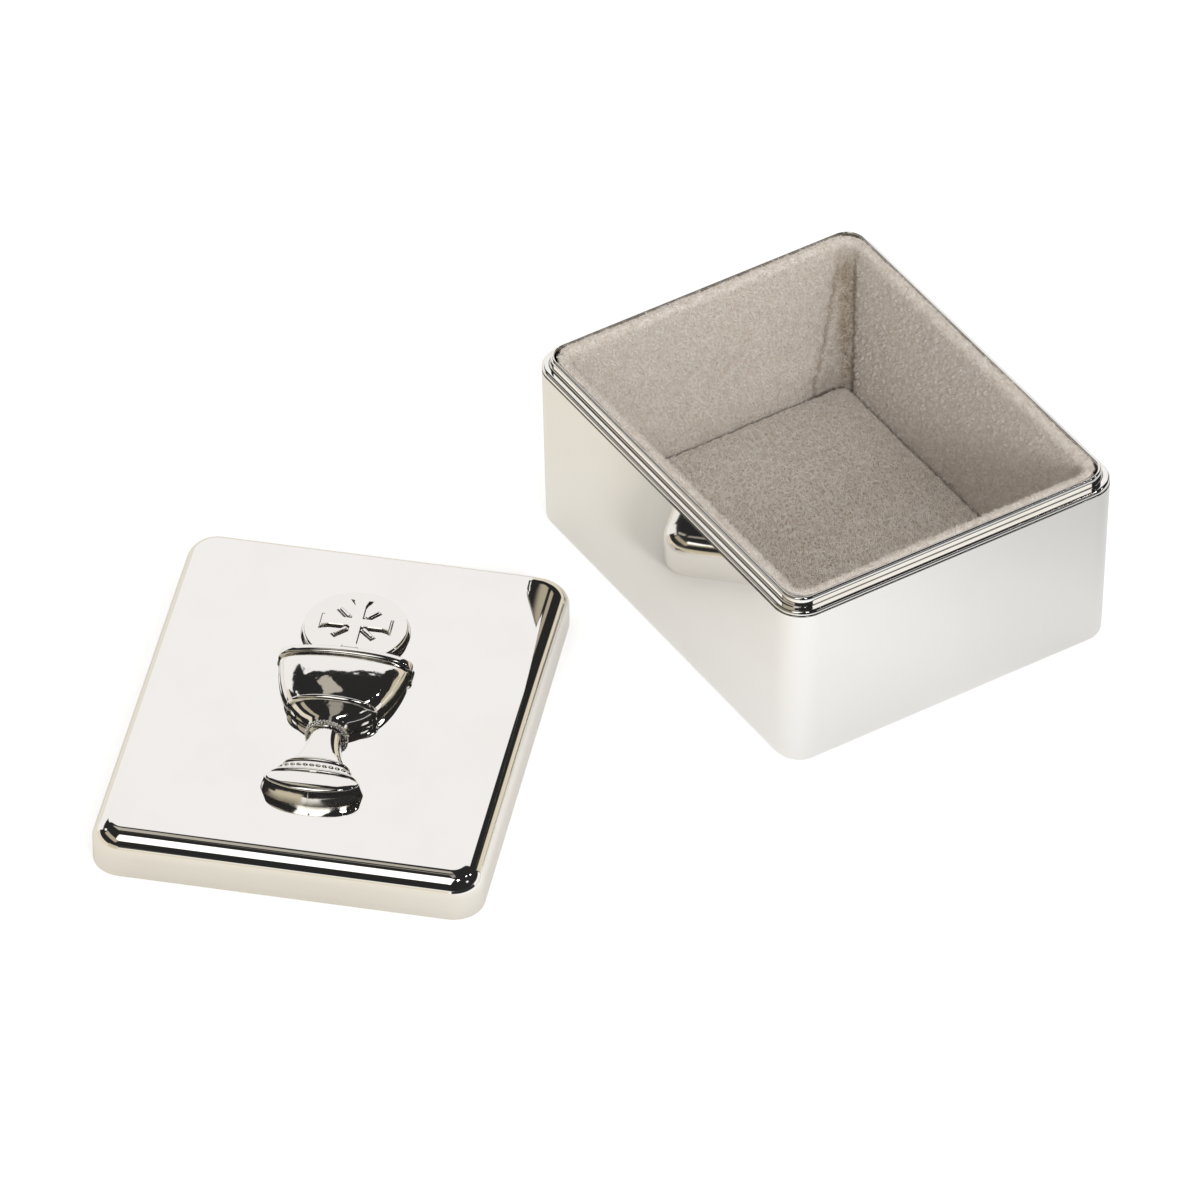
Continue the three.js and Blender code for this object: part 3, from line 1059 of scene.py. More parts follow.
@dataclass
class Lining:
    """The box's lining: a pile strip round its walls and a pile pad on its floor, over card."""

    finishes: Finishes
    body: BoxBody
    folds: CornerFolds = CornerFolds()
    pile: float = 1.5 * MM
    tuft: float = 0.35 * MM
    # The ground's place between the painted root shade and the tips.
    ground_tip: float = 0.7
    rim_rise: float = 0.15 * MM
    rim_edge: float = 0.2 * MM
    rim_fall: float = 1.3 * MM
    rim_flat: float = 0.35
    pad_round: float = 0.2 * MM
    play: float = 0.15 * MM
    strip_corner: float = 4 * MM
    corner_excess: float = 2.1 * MM
    grain: float = 0.45 * MM
    corner_steps: int = 10
    strip_clumps: float = 0.22 * MM
    pad_clumps: float = 0.4 * MM
    # Painted shade along the seam between the wall cloth and the floor pad.
    seam_shade: float = 0.06
    seam_on_strip: float = 0.5 * MM
    seam_on_pad: float = 0.7 * MM

    def plan(self, corner: float, inset: float) -> RoundedOutline:
        """Returns an outline that is cut finely enough for the pile.

        Args:
            corner: the outline's corner radius.
            inset: the inset at which its sides get even pieces.

        Returns:
            The outline.
        """
        outer = self.body.plan
        pieces = tuple(round(2 * (half - inset) / self.grain) for half in (outer.half_x, outer.half_y))
        return replace(outer, corner=corner, corner_steps=self.corner_steps, side_pieces=pieces)

    def inner_inset(self) -> float:
        """Returns the inset of the wall cloth's inner face at its top."""
        pad = self.body.plan.half_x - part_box("floor_pad_velour")[1].x
        return pad - self.play - self.body.lean(self.body.floor)

    def wall_strip(self, matting: MattedCloth) -> Piece:
        """Builds the cloth on the four walls, turned over the top of its card.

        Args:
            matting: the tree that mats its surface.

        Returns:
            The piece.
        """
        low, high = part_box("wall_lining_velour")
        outline = self.body.plan
        outer, inner = outline.half_x - high.x, self.inner_inset()
        top, edge = high.z + self.rim_rise, self.rim_edge
        across = inner - self.tuft - outer - edge
        flat = self.rim_flat * across
        card_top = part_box("wall_lining_card")[1].z
        section = Section(inner - self.pile + self.body.lean(low.z), low.z)
        section.line(inner - self.pile, card_top)
        section.line(outer, card_top)
        hidden = len(section.points)
        section.arc((outer + edge, top - edge), (edge, edge), (180, 90), 4)
        section.line(outer + edge + flat, top, 2)
        section.arc((outer + edge + flat, top - self.rim_fall), (across - flat, self.rim_fall), (90, 0), 12)
        down = round((high.z - low.z) / self.grain)
        section.line(inner - self.tuft + self.body.lean(low.z), low.z, down)
        plan = self.plan(self.strip_corner + outer, inner)
        piece = MeshMaker.sweep("wall_lining_pile", plan, section, ends_meet=True)
        nap = MeshMaker.mark_pile(piece, slice(len(plan.ring(0, 0)) * hidden, None), self.ground_tip)
        height = MeshMaker.places(piece)[:, 2]
        half = np.array([outline.half_x - inner, outline.half_y - inner])
        # The folds are pushed in and given painted shade, and the floor seam gets painted shade too.
        shade = self.folds.fold(piece, half, np.clip((high.z - height) / (high.z - low.z), 0, 1), nap)
        seam = np.exp(-np.abs(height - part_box("floor_pad_velour")[1].z) / self.seam_on_strip)
        MeshMaker.mark(piece, Mark.CREASE, np.maximum(shade, self.seam_shade * seam))
        matting.run(piece, self.finishes.material(self.finishes.pile), Clump_Height=self.strip_clumps)
        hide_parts("wall_lining_velour")
        return piece

    def floor_pad(self, matting: MattedCloth) -> Piece:
        """Builds the pile pad on the floor.

        Args:
            matting: the tree that mats its surface.

        Returns:
            The piece.
        """
        low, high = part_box("floor_pad_velour")
        edge, bend = self.body.plan.half_x - high.x, self.pad_round
        top = high.z - self.tuft
        section = Section(edge, low.z)
        section.line(edge, top - bend)
        hidden = len(section.points)
        section.arc((edge + bend, top - bend), (bend, bend), (180, 90), 6)
        across = high.x - bend - self.grain
        section.line(edge + bend + across, top, round(across / self.grain))
        plan = self.plan(self.strip_corner + self.corner_excess, edge)
        piece = MeshMaker.sweep("floor_pad_pile", plan, section)
        MeshMaker.mark_pile(piece, slice(len(plan.ring(0, 0)) * hidden, None), self.ground_tip)
        # Painted shade along the pad's edge, at the seam with the wall cloth.
        away = np.array([high.x, high.y]) - np.abs(MeshMaker.places(piece)[:, :2])
        seam = np.exp(-np.clip(away.min(axis=1) / self.seam_on_pad, 0, None))
        MeshMaker.mark(piece, Mark.CREASE, self.seam_shade * seam)
        matting.run(piece, self.finishes.material(self.finishes.pile), Clump_Height=self.pad_clumps)
        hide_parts("floor_pad_velour")
        return piece

    def tufts(self, name: str, ground: Piece, where: Side, nap: Nap, **sizes: float) -> Piece:
        """Grows tufts on one side of a cloth.

        Args:
            name: the new piece's name.
            ground: the cloth.
            where: the side.
            nap: the tree that grows them.
            **sizes: the tree's inputs.

        Returns:
            The tufts, as one piece.
        """
        piece = link(name, ground.data.copy())
        places = MeshMaker.places(piece)
        half = np.array([self.body.plan.half_x, self.body.plan.half_y])
        on_x_side = half[0] - np.abs(places[:, 0]) < half[1] - np.abs(places[:, 1])
        chosen = {
            Side.RIGHT: on_x_side & (places[:, 0] > 0), Side.LEFT: on_x_side & (places[:, 0] < 0),
            Side.FAR: ~on_x_side & (places[:, 1] > 0), Side.NEAR: ~on_x_side & (places[:, 1] < 0),
        }[where]
        attribute = piece.data.attributes[Mark.NAP.value].data
        values = np.empty(len(places), np.float32)
        attribute.foreach_get("value", values)
        attribute.foreach_set("value", values * chosen)
        nap.run(piece, self.finishes.material(self.finishes.pile), **sizes)
        return piece

    def build(self) -> list[Piece]:
        """Builds the lining.

        Returns:
            Its pieces.
        """
        matting, nap = MattedCloth(), Nap()
        strip = self.wall_strip(matting)
        pad = self.floor_pad(matting)
        pieces = [strip, pad]
        for side in Side:
            pieces.append(self.tufts(f"floor_pad_tufts_{side.value}", pad, side, nap, Lean=0.45,
                                     Crease_Depth=0.85))
            pieces.append(self.tufts(f"wall_lining_tufts_{side.value}", strip, side, nap, Lean=0.4,
                                     Droop=-0.3, Crease_Depth=0.6, Seed=11))
        for piece in pieces:
            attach(piece, Body.BOX.value)
        for node in ("wall_lining_card", "floor_pad_card"):
            self.finishes.dress_node(node, self.finishes.card)
        return pieces


@dataclass
class BoxLid:
    """The loose cover, drawn from sheet with a generous edge, and its inner lining."""

    finishes: Finishes
    body: BoxBody
    turn: float = math.radians(-43.7)
    wall: float = 1.1 * MM
    top: float = 1.1 * MM
    edge_round: float = 3.3 * MM
    rim_round: float = 0.3 * MM
    edge_steps: int = 28
    sag_width: float = 5.2 * MM
    sag_steps: int = 26
    sag_length: float = 22 * MM
    sag_fade: float = 6 * MM
    sag_slope: float = math.radians(9)
    side_pieces: tuple[int, int] = (60, 73)
    lining_play: float = 0.15 * MM
    lining_rise: float = 0.1 * MM
    lining_grain: float = 0.8 * MM
    lining_pieces: tuple[int, int] = (64, 80)
    lining_steps: int = 6
    # The lid lining ground's place between the painted root shade and the tips.
    lining_tip: float = 0.8
    place: Matrix = field(init=False)
    height: float = field(init=False)

    def __post_init__(self) -> None:
        """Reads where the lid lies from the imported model."""
        low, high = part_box("lid_shell")
        middle = (low + high) / 2
        self.height = high.z
        self.place = Matrix.Translation((middle.x, middle.y, 0)) @ Matrix.Rotation(self.turn, 4, "Z")

    def section(self) -> Section:
        """Draws the cover's section, from the middle of its inside to the middle of its top.

        Returns:
            The section.
        """
        inside = self.edge_round - self.wall
        ceiling = self.height - self.top
        rim, edge = self.rim_round, self.edge_round
        section = Section(self.wall + inside, ceiling)
        section.arc((self.wall + inside, ceiling - inside), (inside, inside), (90, 180))
        section.line(self.wall, 0)
        section.line(rim, 0)
        section.arc((rim, rim), (rim, rim), (-90, -180), 6)
        section.line(0, self.height - edge)
        section.arc((edge, self.height - edge), (edge, edge), (180, 90), self.edge_steps)
        return section.line(edge + self.sag_width, self.height, self.sag_steps)

    def sag(self, cover: Piece) -> None:
        """Lets the cover's top fall a little toward one corner, as the photo's dark patch suggests.

        Args:
            cover: the cover, before it is laid in its place.
        """
        places = MeshMaker.places(cover)
        outer = self.body.plan
        inward = outer.half_x - self.edge_round - places[:, 0]
        left = np.clip(self.sag_width - inward, 0, self.sag_width)
        along = 1 / (1 + np.exp((outer.half_y - places[:, 1] - self.sag_length) / self.sag_fade))
        raised = np.clip((places[:, 2] - self.height + self.edge_round) / self.edge_round, 0, 1)
        places[:, 2] -= self.sag_slope * left**2 / (2 * self.sag_width) * along * raised
        MeshMaker.move_vertices(cover, places)

    def build(self) -> list[Piece]:
        """Builds the cover and its lining.

        Returns:
            The two pieces.
        """
        plan = replace(self.body.plan, side_pieces=self.side_pieces)
        cover = MeshMaker.sweep("lid_cover", plan, self.section())
        self.sag(cover)
        cover.data.transform(self.place)
        self.finishes.dress(cover, self.finishes.plate)
        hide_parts("lid_shell")
        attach(cover, Body.LID.value)
        lining = self.lining()
        self.finishes.dress_node("lid_lining_card", self.finishes.card)
        return [cover, lining]

    def lining(self) -> Piece:
        """Builds the short-pile panel under the lid's top.

        Returns:
            The piece.
        """
        low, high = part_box("lid_lining_velour")
        edge, ground = self.edge_round + self.lining_play, low.z + self.lining_rise
        across = self.body.plan.half_x - edge - self.lining_grain
        section = Section(edge + across, ground)
        section.line(edge, ground, round(across / self.lining_grain))
        shown = len(section.points)
        section.line(edge, high.z)
        plan = replace(self.body.plan, corner_steps=self.lining_steps, side_pieces=self.lining_pieces)
        piece = MeshMaker.sweep("lid_lining_pile", plan, section)
        MeshMaker.mark_pile(piece, slice(len(plan.ring(0, 0)) * shown), self.lining_tip)
        piece.data.transform(self.place)
        MattedCloth().run(piece, self.finishes.material(self.finishes.pile), Clump_Height=0.15 * MM,
                          Swell_Height=0.1 * MM)
        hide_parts("lid_lining_velour")
        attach(piece, Body.LID.value)
        return piece


def bezier(start: Sequence[float], *controls: Sequence[float], steps: int = 60) -> np.ndarray:
    """Samples a cubic Bezier curve.

    Args:
        start: its first point.
        *controls: its two control points and its last point.
        steps: how many pieces it has.

    Returns:
        The points after the first, as rows.
    """
    share = np.linspace(0, 1, steps + 1)[1:, None]
    points = [np.asarray(p, float) for p in (start, *controls)]
    weights = ((1 - share) ** 3, 3 * share * (1 - share) ** 2, 3 * share**2 * (1 - share), share**3)
    return sum(weight * point for weight, point in zip(weights, points))


@dataclass(frozen=True)
class Ridge:
    """A raised band across the chalice: a half round in section, or squarer."""

    at: float
    band: float
    rise: float
    squareness: float = 2.0
    widening: float = 1.0

    def height(self, at: np.ndarray) -> np.ndarray:
        """Returns how far it stands out at places down the chalice."""
        off = np.clip(np.abs(2 * (at - self.at) / self.band), 0, 1)
        return self.rise * (1 - off**self.squareness) ** (1 / self.squareness)


@dataclass(frozen=True)
class Station:
    """The relief's section at one place down the chalice."""

    at: float
    half: float
    wall: float
    crown: float
    fullness: float
    spread: Vector

    def crest(self, pieces: int) -> list[Vector]:
        """Draws the crowned line over the relief, from right to left.

        Args:
            pieces: how many straight pieces it has.

        Returns:
            Its points.
        """
        points = []
        for angle in np.linspace(0, math.pi, pieces + 1):
            rise = self.crown * max(math.sin(angle), 0) ** self.fullness
            points.append(Vector((self.half * math.cos(angle), self.at, self.wall + rise)))
        return points

    def ring(self, pieces: int) -> list[Vector]:
        """Draws the whole section, with the casting's sides leaning out to its back.

        Args:
            pieces: how many straight pieces the crowned line has.

        Returns:
            Its points.
        """
        sides = []
        for sign in (-1, 1):
            out = Vector((sign * self.spread.x, self.spread.y))
            foot = Vector((sign * self.half + out.x, self.at + out.y, 0))
            middle = Vector((sign * self.half + out.x / 2, self.at + out.y / 2, self.wall / 2))
            sides += [middle, foot] if sign < 0 else [foot, middle]
        return [*self.crest(pieces), *sides][::-1]


@dataclass
class ChaliceRelief:
    """The casting on the lid: a chalice in half relief and a host behind its lip.

    Its own frame has Y up the chalice and its zero at the lid's centre, on the lid's top.
    """

    finishes: Finishes
    lid: BoxLid
    lean: float = math.radians(1.7)
    offset: Pair = (0.4 * MM, 1.4 * MM)
    side_slope: float = 0.27
    lip: float = 1.7 * MM
    lip_rise: float = 0.9 * MM
    lip_widening: float = 0.15
    lip_wall: float = 0.7 * MM
    bowl_wall: float = 0.3 * MM
    foot_wall: float = 1.3 * MM
    swell_wall: float = 2.1 * MM
    toe_wall: float = 2.4 * MM
    rim_at: float = 7.6 * MM
    rim_half: float = 10.2 * MM
    rim_height: float = 3.0 * MM
    belly_at: float = 1.5 * MM
    belly_height: float = 4.8 * MM
    bowl_foot_height: float = 2.4 * MM
    bead_at: float = -4.7 * MM
    bead: float = 0.8 * MM
    bead_rise: float = 0.35 * MM
    neck: float = 1.5 * MM
    neck_rise: float = 0.4 * MM
    neck_at: float = -9.3 * MM
    neck_half: float = 2.5 * MM
    neck_height: float = 2.6 * MM
    stem_foot_at: float = -17.2 * MM
    stem_foot_half: float = 4.6 * MM
    stem_height: float = 2.7 * MM
    moulding: float = 0.7 * MM
    moulding_rise: float = 0.3 * MM
    foot_at: float = -20.5 * MM
    foot_top_half: float = 6.5 * MM
    foot_half: float = 7.25 * MM
    foot_swell: float = 1.1 * MM
    foot_depth: float = 2.9 * MM
    foot_round: float = 1.25 * MM
    foot_dip: float = 0.15 * MM
    foot_height: float = 2.95 * MM
    host_radius: float = 8.1 * MM
    host_height: float = 1.3 * MM
    host_draft: float = 0.3 * MM
    host_round: float = 0.35 * MM
    host_centre: float = 15.1 * MM
    host_gap: float = 0.3 * MM
    bowl_fullness: float = 0.6
    stem_fullness: float = 0.85
    foot_fullness: float = 0.6
    across: int = 96
    step: float = 0.11 * MM
    tiny: float = 0.01 * MM
    # Painted shade beside the raised bands and where the casting meets the lid.
    groove_reach: float = 0.18 * MM
    groove_shade: float = 0.55
    base_reach: float = 0.25 * MM
    base_shade: float = 0.8
    foot_wave: float = 0.35
    place: Matrix = field(init=False)
    ridges: tuple[Ridge, ...] = field(init=False)

    def __post_init__(self) -> None:
        """Works out where the relief stands and where its raised bands are."""
        turned = Matrix.Translation((*self.offset, self.lid.height)) @ Matrix.Rotation(self.lean, 4, "Z")
        self.place = self.lid.place @ turned
        lip, moulding = self.lip, self.moulding
        self.ridges = (
            Ridge(self.rim_at - lip / 2, lip, self.lip_rise, squareness=3, widening=self.lip_widening),
            Ridge(self.bead_at, self.bead, self.bead_rise),
            Ridge(self.neck_at, self.neck, self.neck_rise),
            Ridge(self.stem_foot_at - moulding / 2, moulding, self.moulding_rise),
            Ridge(self.foot_at + moulding / 2, moulding, self.moulding_rise),
        )

    @property
    def widest(self) -> float:
        """Returns the place where the foot is widest."""
        return self.foot_at - self.foot_swell

    @property
    def lowest(self) -> float:
        """Returns the place of the foot's front edge."""
        return self.widest - self.foot_depth

    def front(self) -> np.ndarray:
        """Draws the chalice's outline from the front.

        Returns:
            Rows of half width and place, from the rim down.
        """
        lip_foot = (self.rim_half - 0.2 * MM, self.rim_at - self.lip)
        neck = (self.neck_half + 0.6 * MM, self.neck_at + 1.5 * MM)
        stem_top = (self.neck_half, self.neck_at - 0.4 * MM)
        stem_foot = (self.stem_foot_half, self.stem_foot_at)
        bowl = bezier(lip_foot, (self.rim_half - 0.6 * MM, self.rim_at - 6.4 * MM),
                      (self.rim_half - 2.3 * MM, self.neck_at + 3.8 * MM), neck)
        stem = bezier(stem_top, (self.neck_half, self.neck_at - 4 * MM),
                      (self.stem_foot_half - 1 * MM, self.stem_foot_at + 2 * MM), stem_foot)
        foot_top, widest = (self.foot_top_half, self.foot_at), self.widest
        swell = bezier(foot_top, (self.foot_half, self.foot_at - 0.2 * MM),
                       (self.foot_half, widest + 0.4 * MM), (self.foot_half, widest))
        angles = np.radians(np.linspace(0, 90, 40)[1:])
        toe = np.column_stack([self.foot_half * np.cos(angles), widest - self.foot_depth * np.sin(angles)])
        lip = [(self.rim_half, self.rim_at), (self.rim_half, lip_foot[1] + 0.05 * MM), lip_foot]
        return np.vstack([*lip, bowl, stem_top, stem, foot_top, swell, toe])

    def side(self) -> np.ndarray:
        """Draws the chalice's middle line from the side.

        Returns:
            Rows of height and place, from the rim down.
        """
        rim = (self.rim_height, self.rim_at)
        belly = (self.belly_height, self.belly_at)
        bowl_foot = (self.bowl_foot_height, self.neck_at + 0.5 * MM)
        lip_foot = (self.rim_height, self.rim_at - self.lip)
        rising = bezier(lip_foot, (self.belly_height - 0.4 * MM, self.rim_at - self.lip - 1.2 * MM),
                        (self.belly_height, self.belly_at + 2.4 * MM), belly)
        falling = bezier(belly, (self.belly_height, self.belly_at - 4.6 * MM),
                         (self.bowl_foot_height + 1.2 * MM, self.neck_at + 3.3 * MM), bowl_foot)
        crest = self.lowest + self.foot_round
        angles = np.radians(np.linspace(0, 90, 24)[1:])
        toe = np.column_stack([self.toe_wall + (self.foot_height - self.toe_wall) * np.cos(angles),
                               crest - self.foot_round * np.sin(angles)])
        lower = [(self.neck_height, self.neck_at - 0.4 * MM), (self.stem_height, self.stem_foot_at),
                 (self.foot_height - self.foot_dip, self.foot_at), (self.foot_height, crest)]
        return np.vstack([rim, lip_foot, rising, falling, *lower, toe])

    def walls(self) -> np.ndarray:
        """Draws how high the casting's sides stand before its face begins.

        Returns:
            Rows of height and place, from the rim down.
        """
        return np.array([
            (self.lip_wall, self.rim_at), (self.lip_wall, self.rim_at - self.lip),
            (self.bowl_wall, self.rim_at - 3 * self.lip), (self.bowl_wall, self.stem_foot_at + MM),
            (self.foot_wall, self.foot_at), (self.swell_wall, self.widest),
            (self.toe_wall, self.lowest),
        ])

    def station(self, at: float) -> Station:
        """Works out the relief's section at one place.

        Args:
            at: the place down the chalice.

        Returns:
            The section.
        """
        front, side, walls = self.front()[::-1], self.side()[::-1], self.walls()[::-1]
        rises = [float(ridge.height(np.array([at]))[0]) for ridge in self.ridges]
        widening = max(ridge.widening * rise for ridge, rise in zip(self.ridges, rises))
        wall = float(np.interp(at, walls[:, 1], walls[:, 0]))
        near = np.interp((at - 2 * self.tiny, at, at + 2 * self.tiny), front[:, 1], front[:, 0])
        fullness = {
            self.foot_at: self.foot_fullness, self.stem_foot_at: self.foot_fullness,
            self.stem_foot_at + 2 * MM: self.stem_fullness, self.neck_at: self.stem_fullness,
            self.neck_at + 2 * MM: self.bowl_fullness,
        }
        slope = -(near[2] - near[0]) / (4 * self.tiny)
        return Station(
            at=at,
            half=max(float(near[1]), 3 * self.tiny) + widening,
            wall=wall,
            crown=max(float(np.interp(at, side[:, 1], side[:, 0])) + max(rises) - wall, self.tiny),
            fullness=float(np.interp(at, [*fullness], [*fullness.values()])),
            spread=Vector((1, slope)).normalized() * self.side_slope * wall,
        )

    def chalice(self) -> Piece:
        """Builds the chalice.

        Returns:
            The piece.
        """
        toe = self.widest - self.foot_depth * np.sin(np.radians(np.linspace(90, 0, 40)))
        above = np.linspace(self.widest, self.rim_at, round((self.rim_at - self.widest) / self.step))[1:]
        rings = [self.station(at).ring(self.across) for at in (*toe, *above)]
        piece = MeshMaker.loft("chalice_relief", rings, ends_meet=False)
        # Painted shade in the corners and at the base.
        MeshMaker.mark(piece, Mark.HOLLOW_SHADE, self.hollows(piece))
        up = MeshMaker.places(piece)[:, 1]
        over_neck = np.clip((up - self.neck_at) / (2 * MM), 0, 1)
        under_lip = np.clip((self.rim_at - self.lip - up) / MM, 0, 1)
        foot = self.foot_wave * (up < self.foot_at)
        MeshMaker.mark(piece, Mark.WAVE, np.maximum(over_neck * under_lip, foot))
        return piece

    def hollows(self, piece: Piece) -> np.ndarray:
        """Works out the painted shade of vertices in a corner beside a raised band or at the base.

        Args:
            piece: the chalice.

        Returns:
            How much painted shade each of them gets, from 0 to 1.
        """
        places = MeshMaker.places(piece)
        hollow_shade = np.zeros(len(places))
        for ridge in self.ridges:
            off = np.abs(places[:, 1] - ridge.at) - ridge.band / 2
            hollow_shade = np.maximum(hollow_shade, np.exp(-((off / self.groove_reach) ** 2)))
        base = np.exp(-places[:, 2] / self.base_reach)
        return np.clip(np.maximum(self.groove_shade * hollow_shade, self.base_shade * base), 0, 1)

    def lays(self, name: str, at: float, twist: TwistedLays, **sizes: float) -> Piece:
        """Builds a row of slanted beads across the relief.

        Args:
            name: the piece's name.
            at: its place down the chalice.
            twist: the tree that lays the beads.
            **sizes: the tree's inputs.

        Returns:
            The piece.
        """
        points = self.station(at).crest(self.across)
        mesh = bpy.data.meshes.new(name)
        mesh.from_pydata(points, [(i, i + 1) for i in range(len(points) - 1)], [])
        piece = link(name, mesh)
        up = mesh.attributes.new(Mark.UP.value, "FLOAT_VECTOR", "POINT")
        up.data.foreach_set("vector", np.tile([0.0, 1.0, 0.0], len(points)))
        twist.run(piece, self.finishes.material(self.finishes.cast), **sizes)
        return piece

    def host(self) -> Piece:
        """Builds the host, cut straight behind the bowl's lip.

        Returns:
            The piece.
        """
        reach = self.host_radius + self.host_draft
        top, edge, step, pieces = self.host_height, self.host_round, 0.06 * MM, 160
        arc = [(self.host_radius - edge + edge * math.sin(a), top - edge + edge * math.cos(a))
               for a in np.linspace(0, math.pi / 2, 9)]
        profile = [(self.host_radius - 2 * edge, top), *arc, (reach, step), (reach, 0.0)]
        cut = self.rim_at + self.host_gap - self.host_centre
        angles = np.linspace(0, 2 * math.pi, pieces, endpoint=False)
        rings = [[Vector((radius * math.cos(a), self.host_centre + max(radius * math.sin(a), cut), height))
                  for a in angles] for radius, height in profile]
        piece = MeshMaker.loft("host_relief", rings[::-1], ends_meet=False)
        # Painted shade where the host meets the lid.
        base = np.exp(-MeshMaker.places(piece)[:, 2] / self.base_reach)
        MeshMaker.mark(piece, Mark.HOLLOW_SHADE, self.base_shade * base)
        return piece

    def cross(self) -> Piece:
        """Builds the raised cross on the host, with widened ends, corner rays and a dark plate as painted
        shade.

        Returns:
            The piece.
        """
        mesh = bmesh.new()
        # A low plate a little larger than the cross lies under it, painted dark as shade round its foot.
        shade_margin, shade_margin_rise, rise, slant = 0.2 * MM, 0.03 * MM, 0.45 * MM, 0.22 * MM
        for outline in self.figure(shade_margin):
            self.raise_outline(mesh, outline, shade_margin_rise, 0.0)
        for outline in self.figure(0.0):
            self.raise_outline(mesh, outline, rise, slant)
        data = bpy.data.meshes.new("host_cross")
        mesh.to_mesh(data)
        mesh.free()
        piece = MeshMaker.finish("host_cross", data)
        # Painted shade: dark on the plate and the cross's lower sides, fading out above.
        shade, fade = 1.2, 0.1 * MM
        above = MeshMaker.places(piece)[:, 2] - self.host_height
        MeshMaker.mark(piece, Mark.HOLLOW_SHADE, np.clip(shade - above / fade, 0, 1))
        return piece

    @staticmethod
    def figure(grow: float) -> list[list[Vector]]:
        """Draws the cross and its rays round their crossing.

        Args:
            grow: how far the outlines are moved out.

        Returns:
            The outlines, each anticlockwise.
        """
        stroke, serif, flare = 0.6 * MM + grow, 1.6 * MM + grow, 1.2 * MM
        arm, lower_arm = 5.4 * MM, 6.0 * MM
        cross = []
        for angle, length in ((90, arm), (180, arm), (270, lower_arm), (0, arm)):
            neck, end = length - flare, length + grow
            corners = [(stroke, -stroke), (neck, -stroke), (end, -serif), (end, serif), (neck, stroke)]
            cross += [Matrix.Rotation(math.radians(angle), 2) @ Vector(point) for point in corners]
        near, far, wide, slim = 1.7 * MM - grow, 4.3 * MM + grow, 0.42 * MM + grow, 0.3 * MM + grow
        ray = [(near, -wide), (far, -slim), (far, slim), (near, wide)]
        rays = [[Matrix.Rotation(math.radians(angle), 2) @ Vector(point) for point in ray]
                for angle in (45, 135, 225, 315)]
        return [cross, *rays]

    def raise_outline(self, mesh: bmesh.types.BMesh, outline: Sequence[Vector], rise: float,
                      slant: float) -> None:
        """Raises a flat outline on the host into a block with slanted upper edges.

        Args:
            mesh: the mesh that gets it.
            outline: its corners round the crossing, anticlockwise.
            rise: how far it stands out from the host.
            slant: how far its upper edges are cut back.
        """
        crossing_lift, root = 0.5 * MM, 0.1 * MM
        crossing = Vector((0, self.host_centre + crossing_lift))
        base, top = self.host_height - root, self.host_height + rise
        low, high = ([mesh.verts.new((*(crossing + point), level)) for point in outline]
                     for level in (base, top))
        mesh.faces.new(low[::-1])
        crest = mesh.faces.new(high)
        for i in range(len(outline)):
            after = (i + 1) % len(outline)
            mesh.faces.new((low[i], low[after], high[after], high[i]))
        if slant:
            bmesh.ops.bevel(mesh, geom=list(crest.edges), offset=slant, segments=2, affect="EDGES")

    def build(self) -> list[Piece]:
        """Builds the relief.

        Returns:
            Its pieces.
        """
        twist = TwistedLays()
        chalice, host = self.chalice(), self.host()
        pieces = [
            chalice,
            host,
            self.cross(),
            self.lays("neck_rope", self.neck_at, twist, Count=19, Length=1.25 * MM, Width=0.44 * MM,
                      Height=0.62 * MM, Slant=0.35),
            self.lays("foot_dashes", (self.stem_foot_at + self.foot_at) / 2, twist, Count=14,
                      Length=0.55 * MM, Width=0.9 * MM, Height=0.45 * MM, Slant=0.2),
        ]
        for piece in pieces:
            piece.data.transform(self.place)
            self.finishes.dress(piece, self.finishes.cast)
            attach(piece, Body.LID.value)
        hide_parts("chalice")
        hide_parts("host_disc")
        return pieces


def toward(heading: float, elevation: float) -> Vector:
    """Returns the unit vector of a heading, from -Y toward +X, and an elevation."""
    flat = math.cos(elevation)
    return Vector((math.sin(heading) * flat, -math.cos(heading) * flat, math.sin(elevation)))


@dataclass(frozen=True)
class ViewPoint:
    """Where the camera stands, as seen from its target, and its lens."""

    target: Vector = Vector((-0.03258, 0.01268, 0.0))
    heading: float = math.radians(-32.485)
    elevation: float = math.radians(40.778)
    roll: float = math.radians(-0.077)
    distance: float = 1.78563
    lens: float = 348.1
    sensor: float = 36.0

    def build(self) -> Piece:
        """Makes the camera.

        Returns:
            The camera.
        """
        data = bpy.data.cameras.new("camera")
        data.lens, data.sensor_width = self.lens, self.sensor
        camera = link("camera", data)
        back = toward(self.heading, self.elevation)
        turn = (-back).to_track_quat("-Z", "Y").to_matrix().to_4x4()
        place = Matrix.Translation(self.target + back * self.distance)
        camera.matrix_world = place @ turn @ Matrix.Rotation(self.roll, 4, "Z")
        bpy.context.scene.camera = camera
        return camera


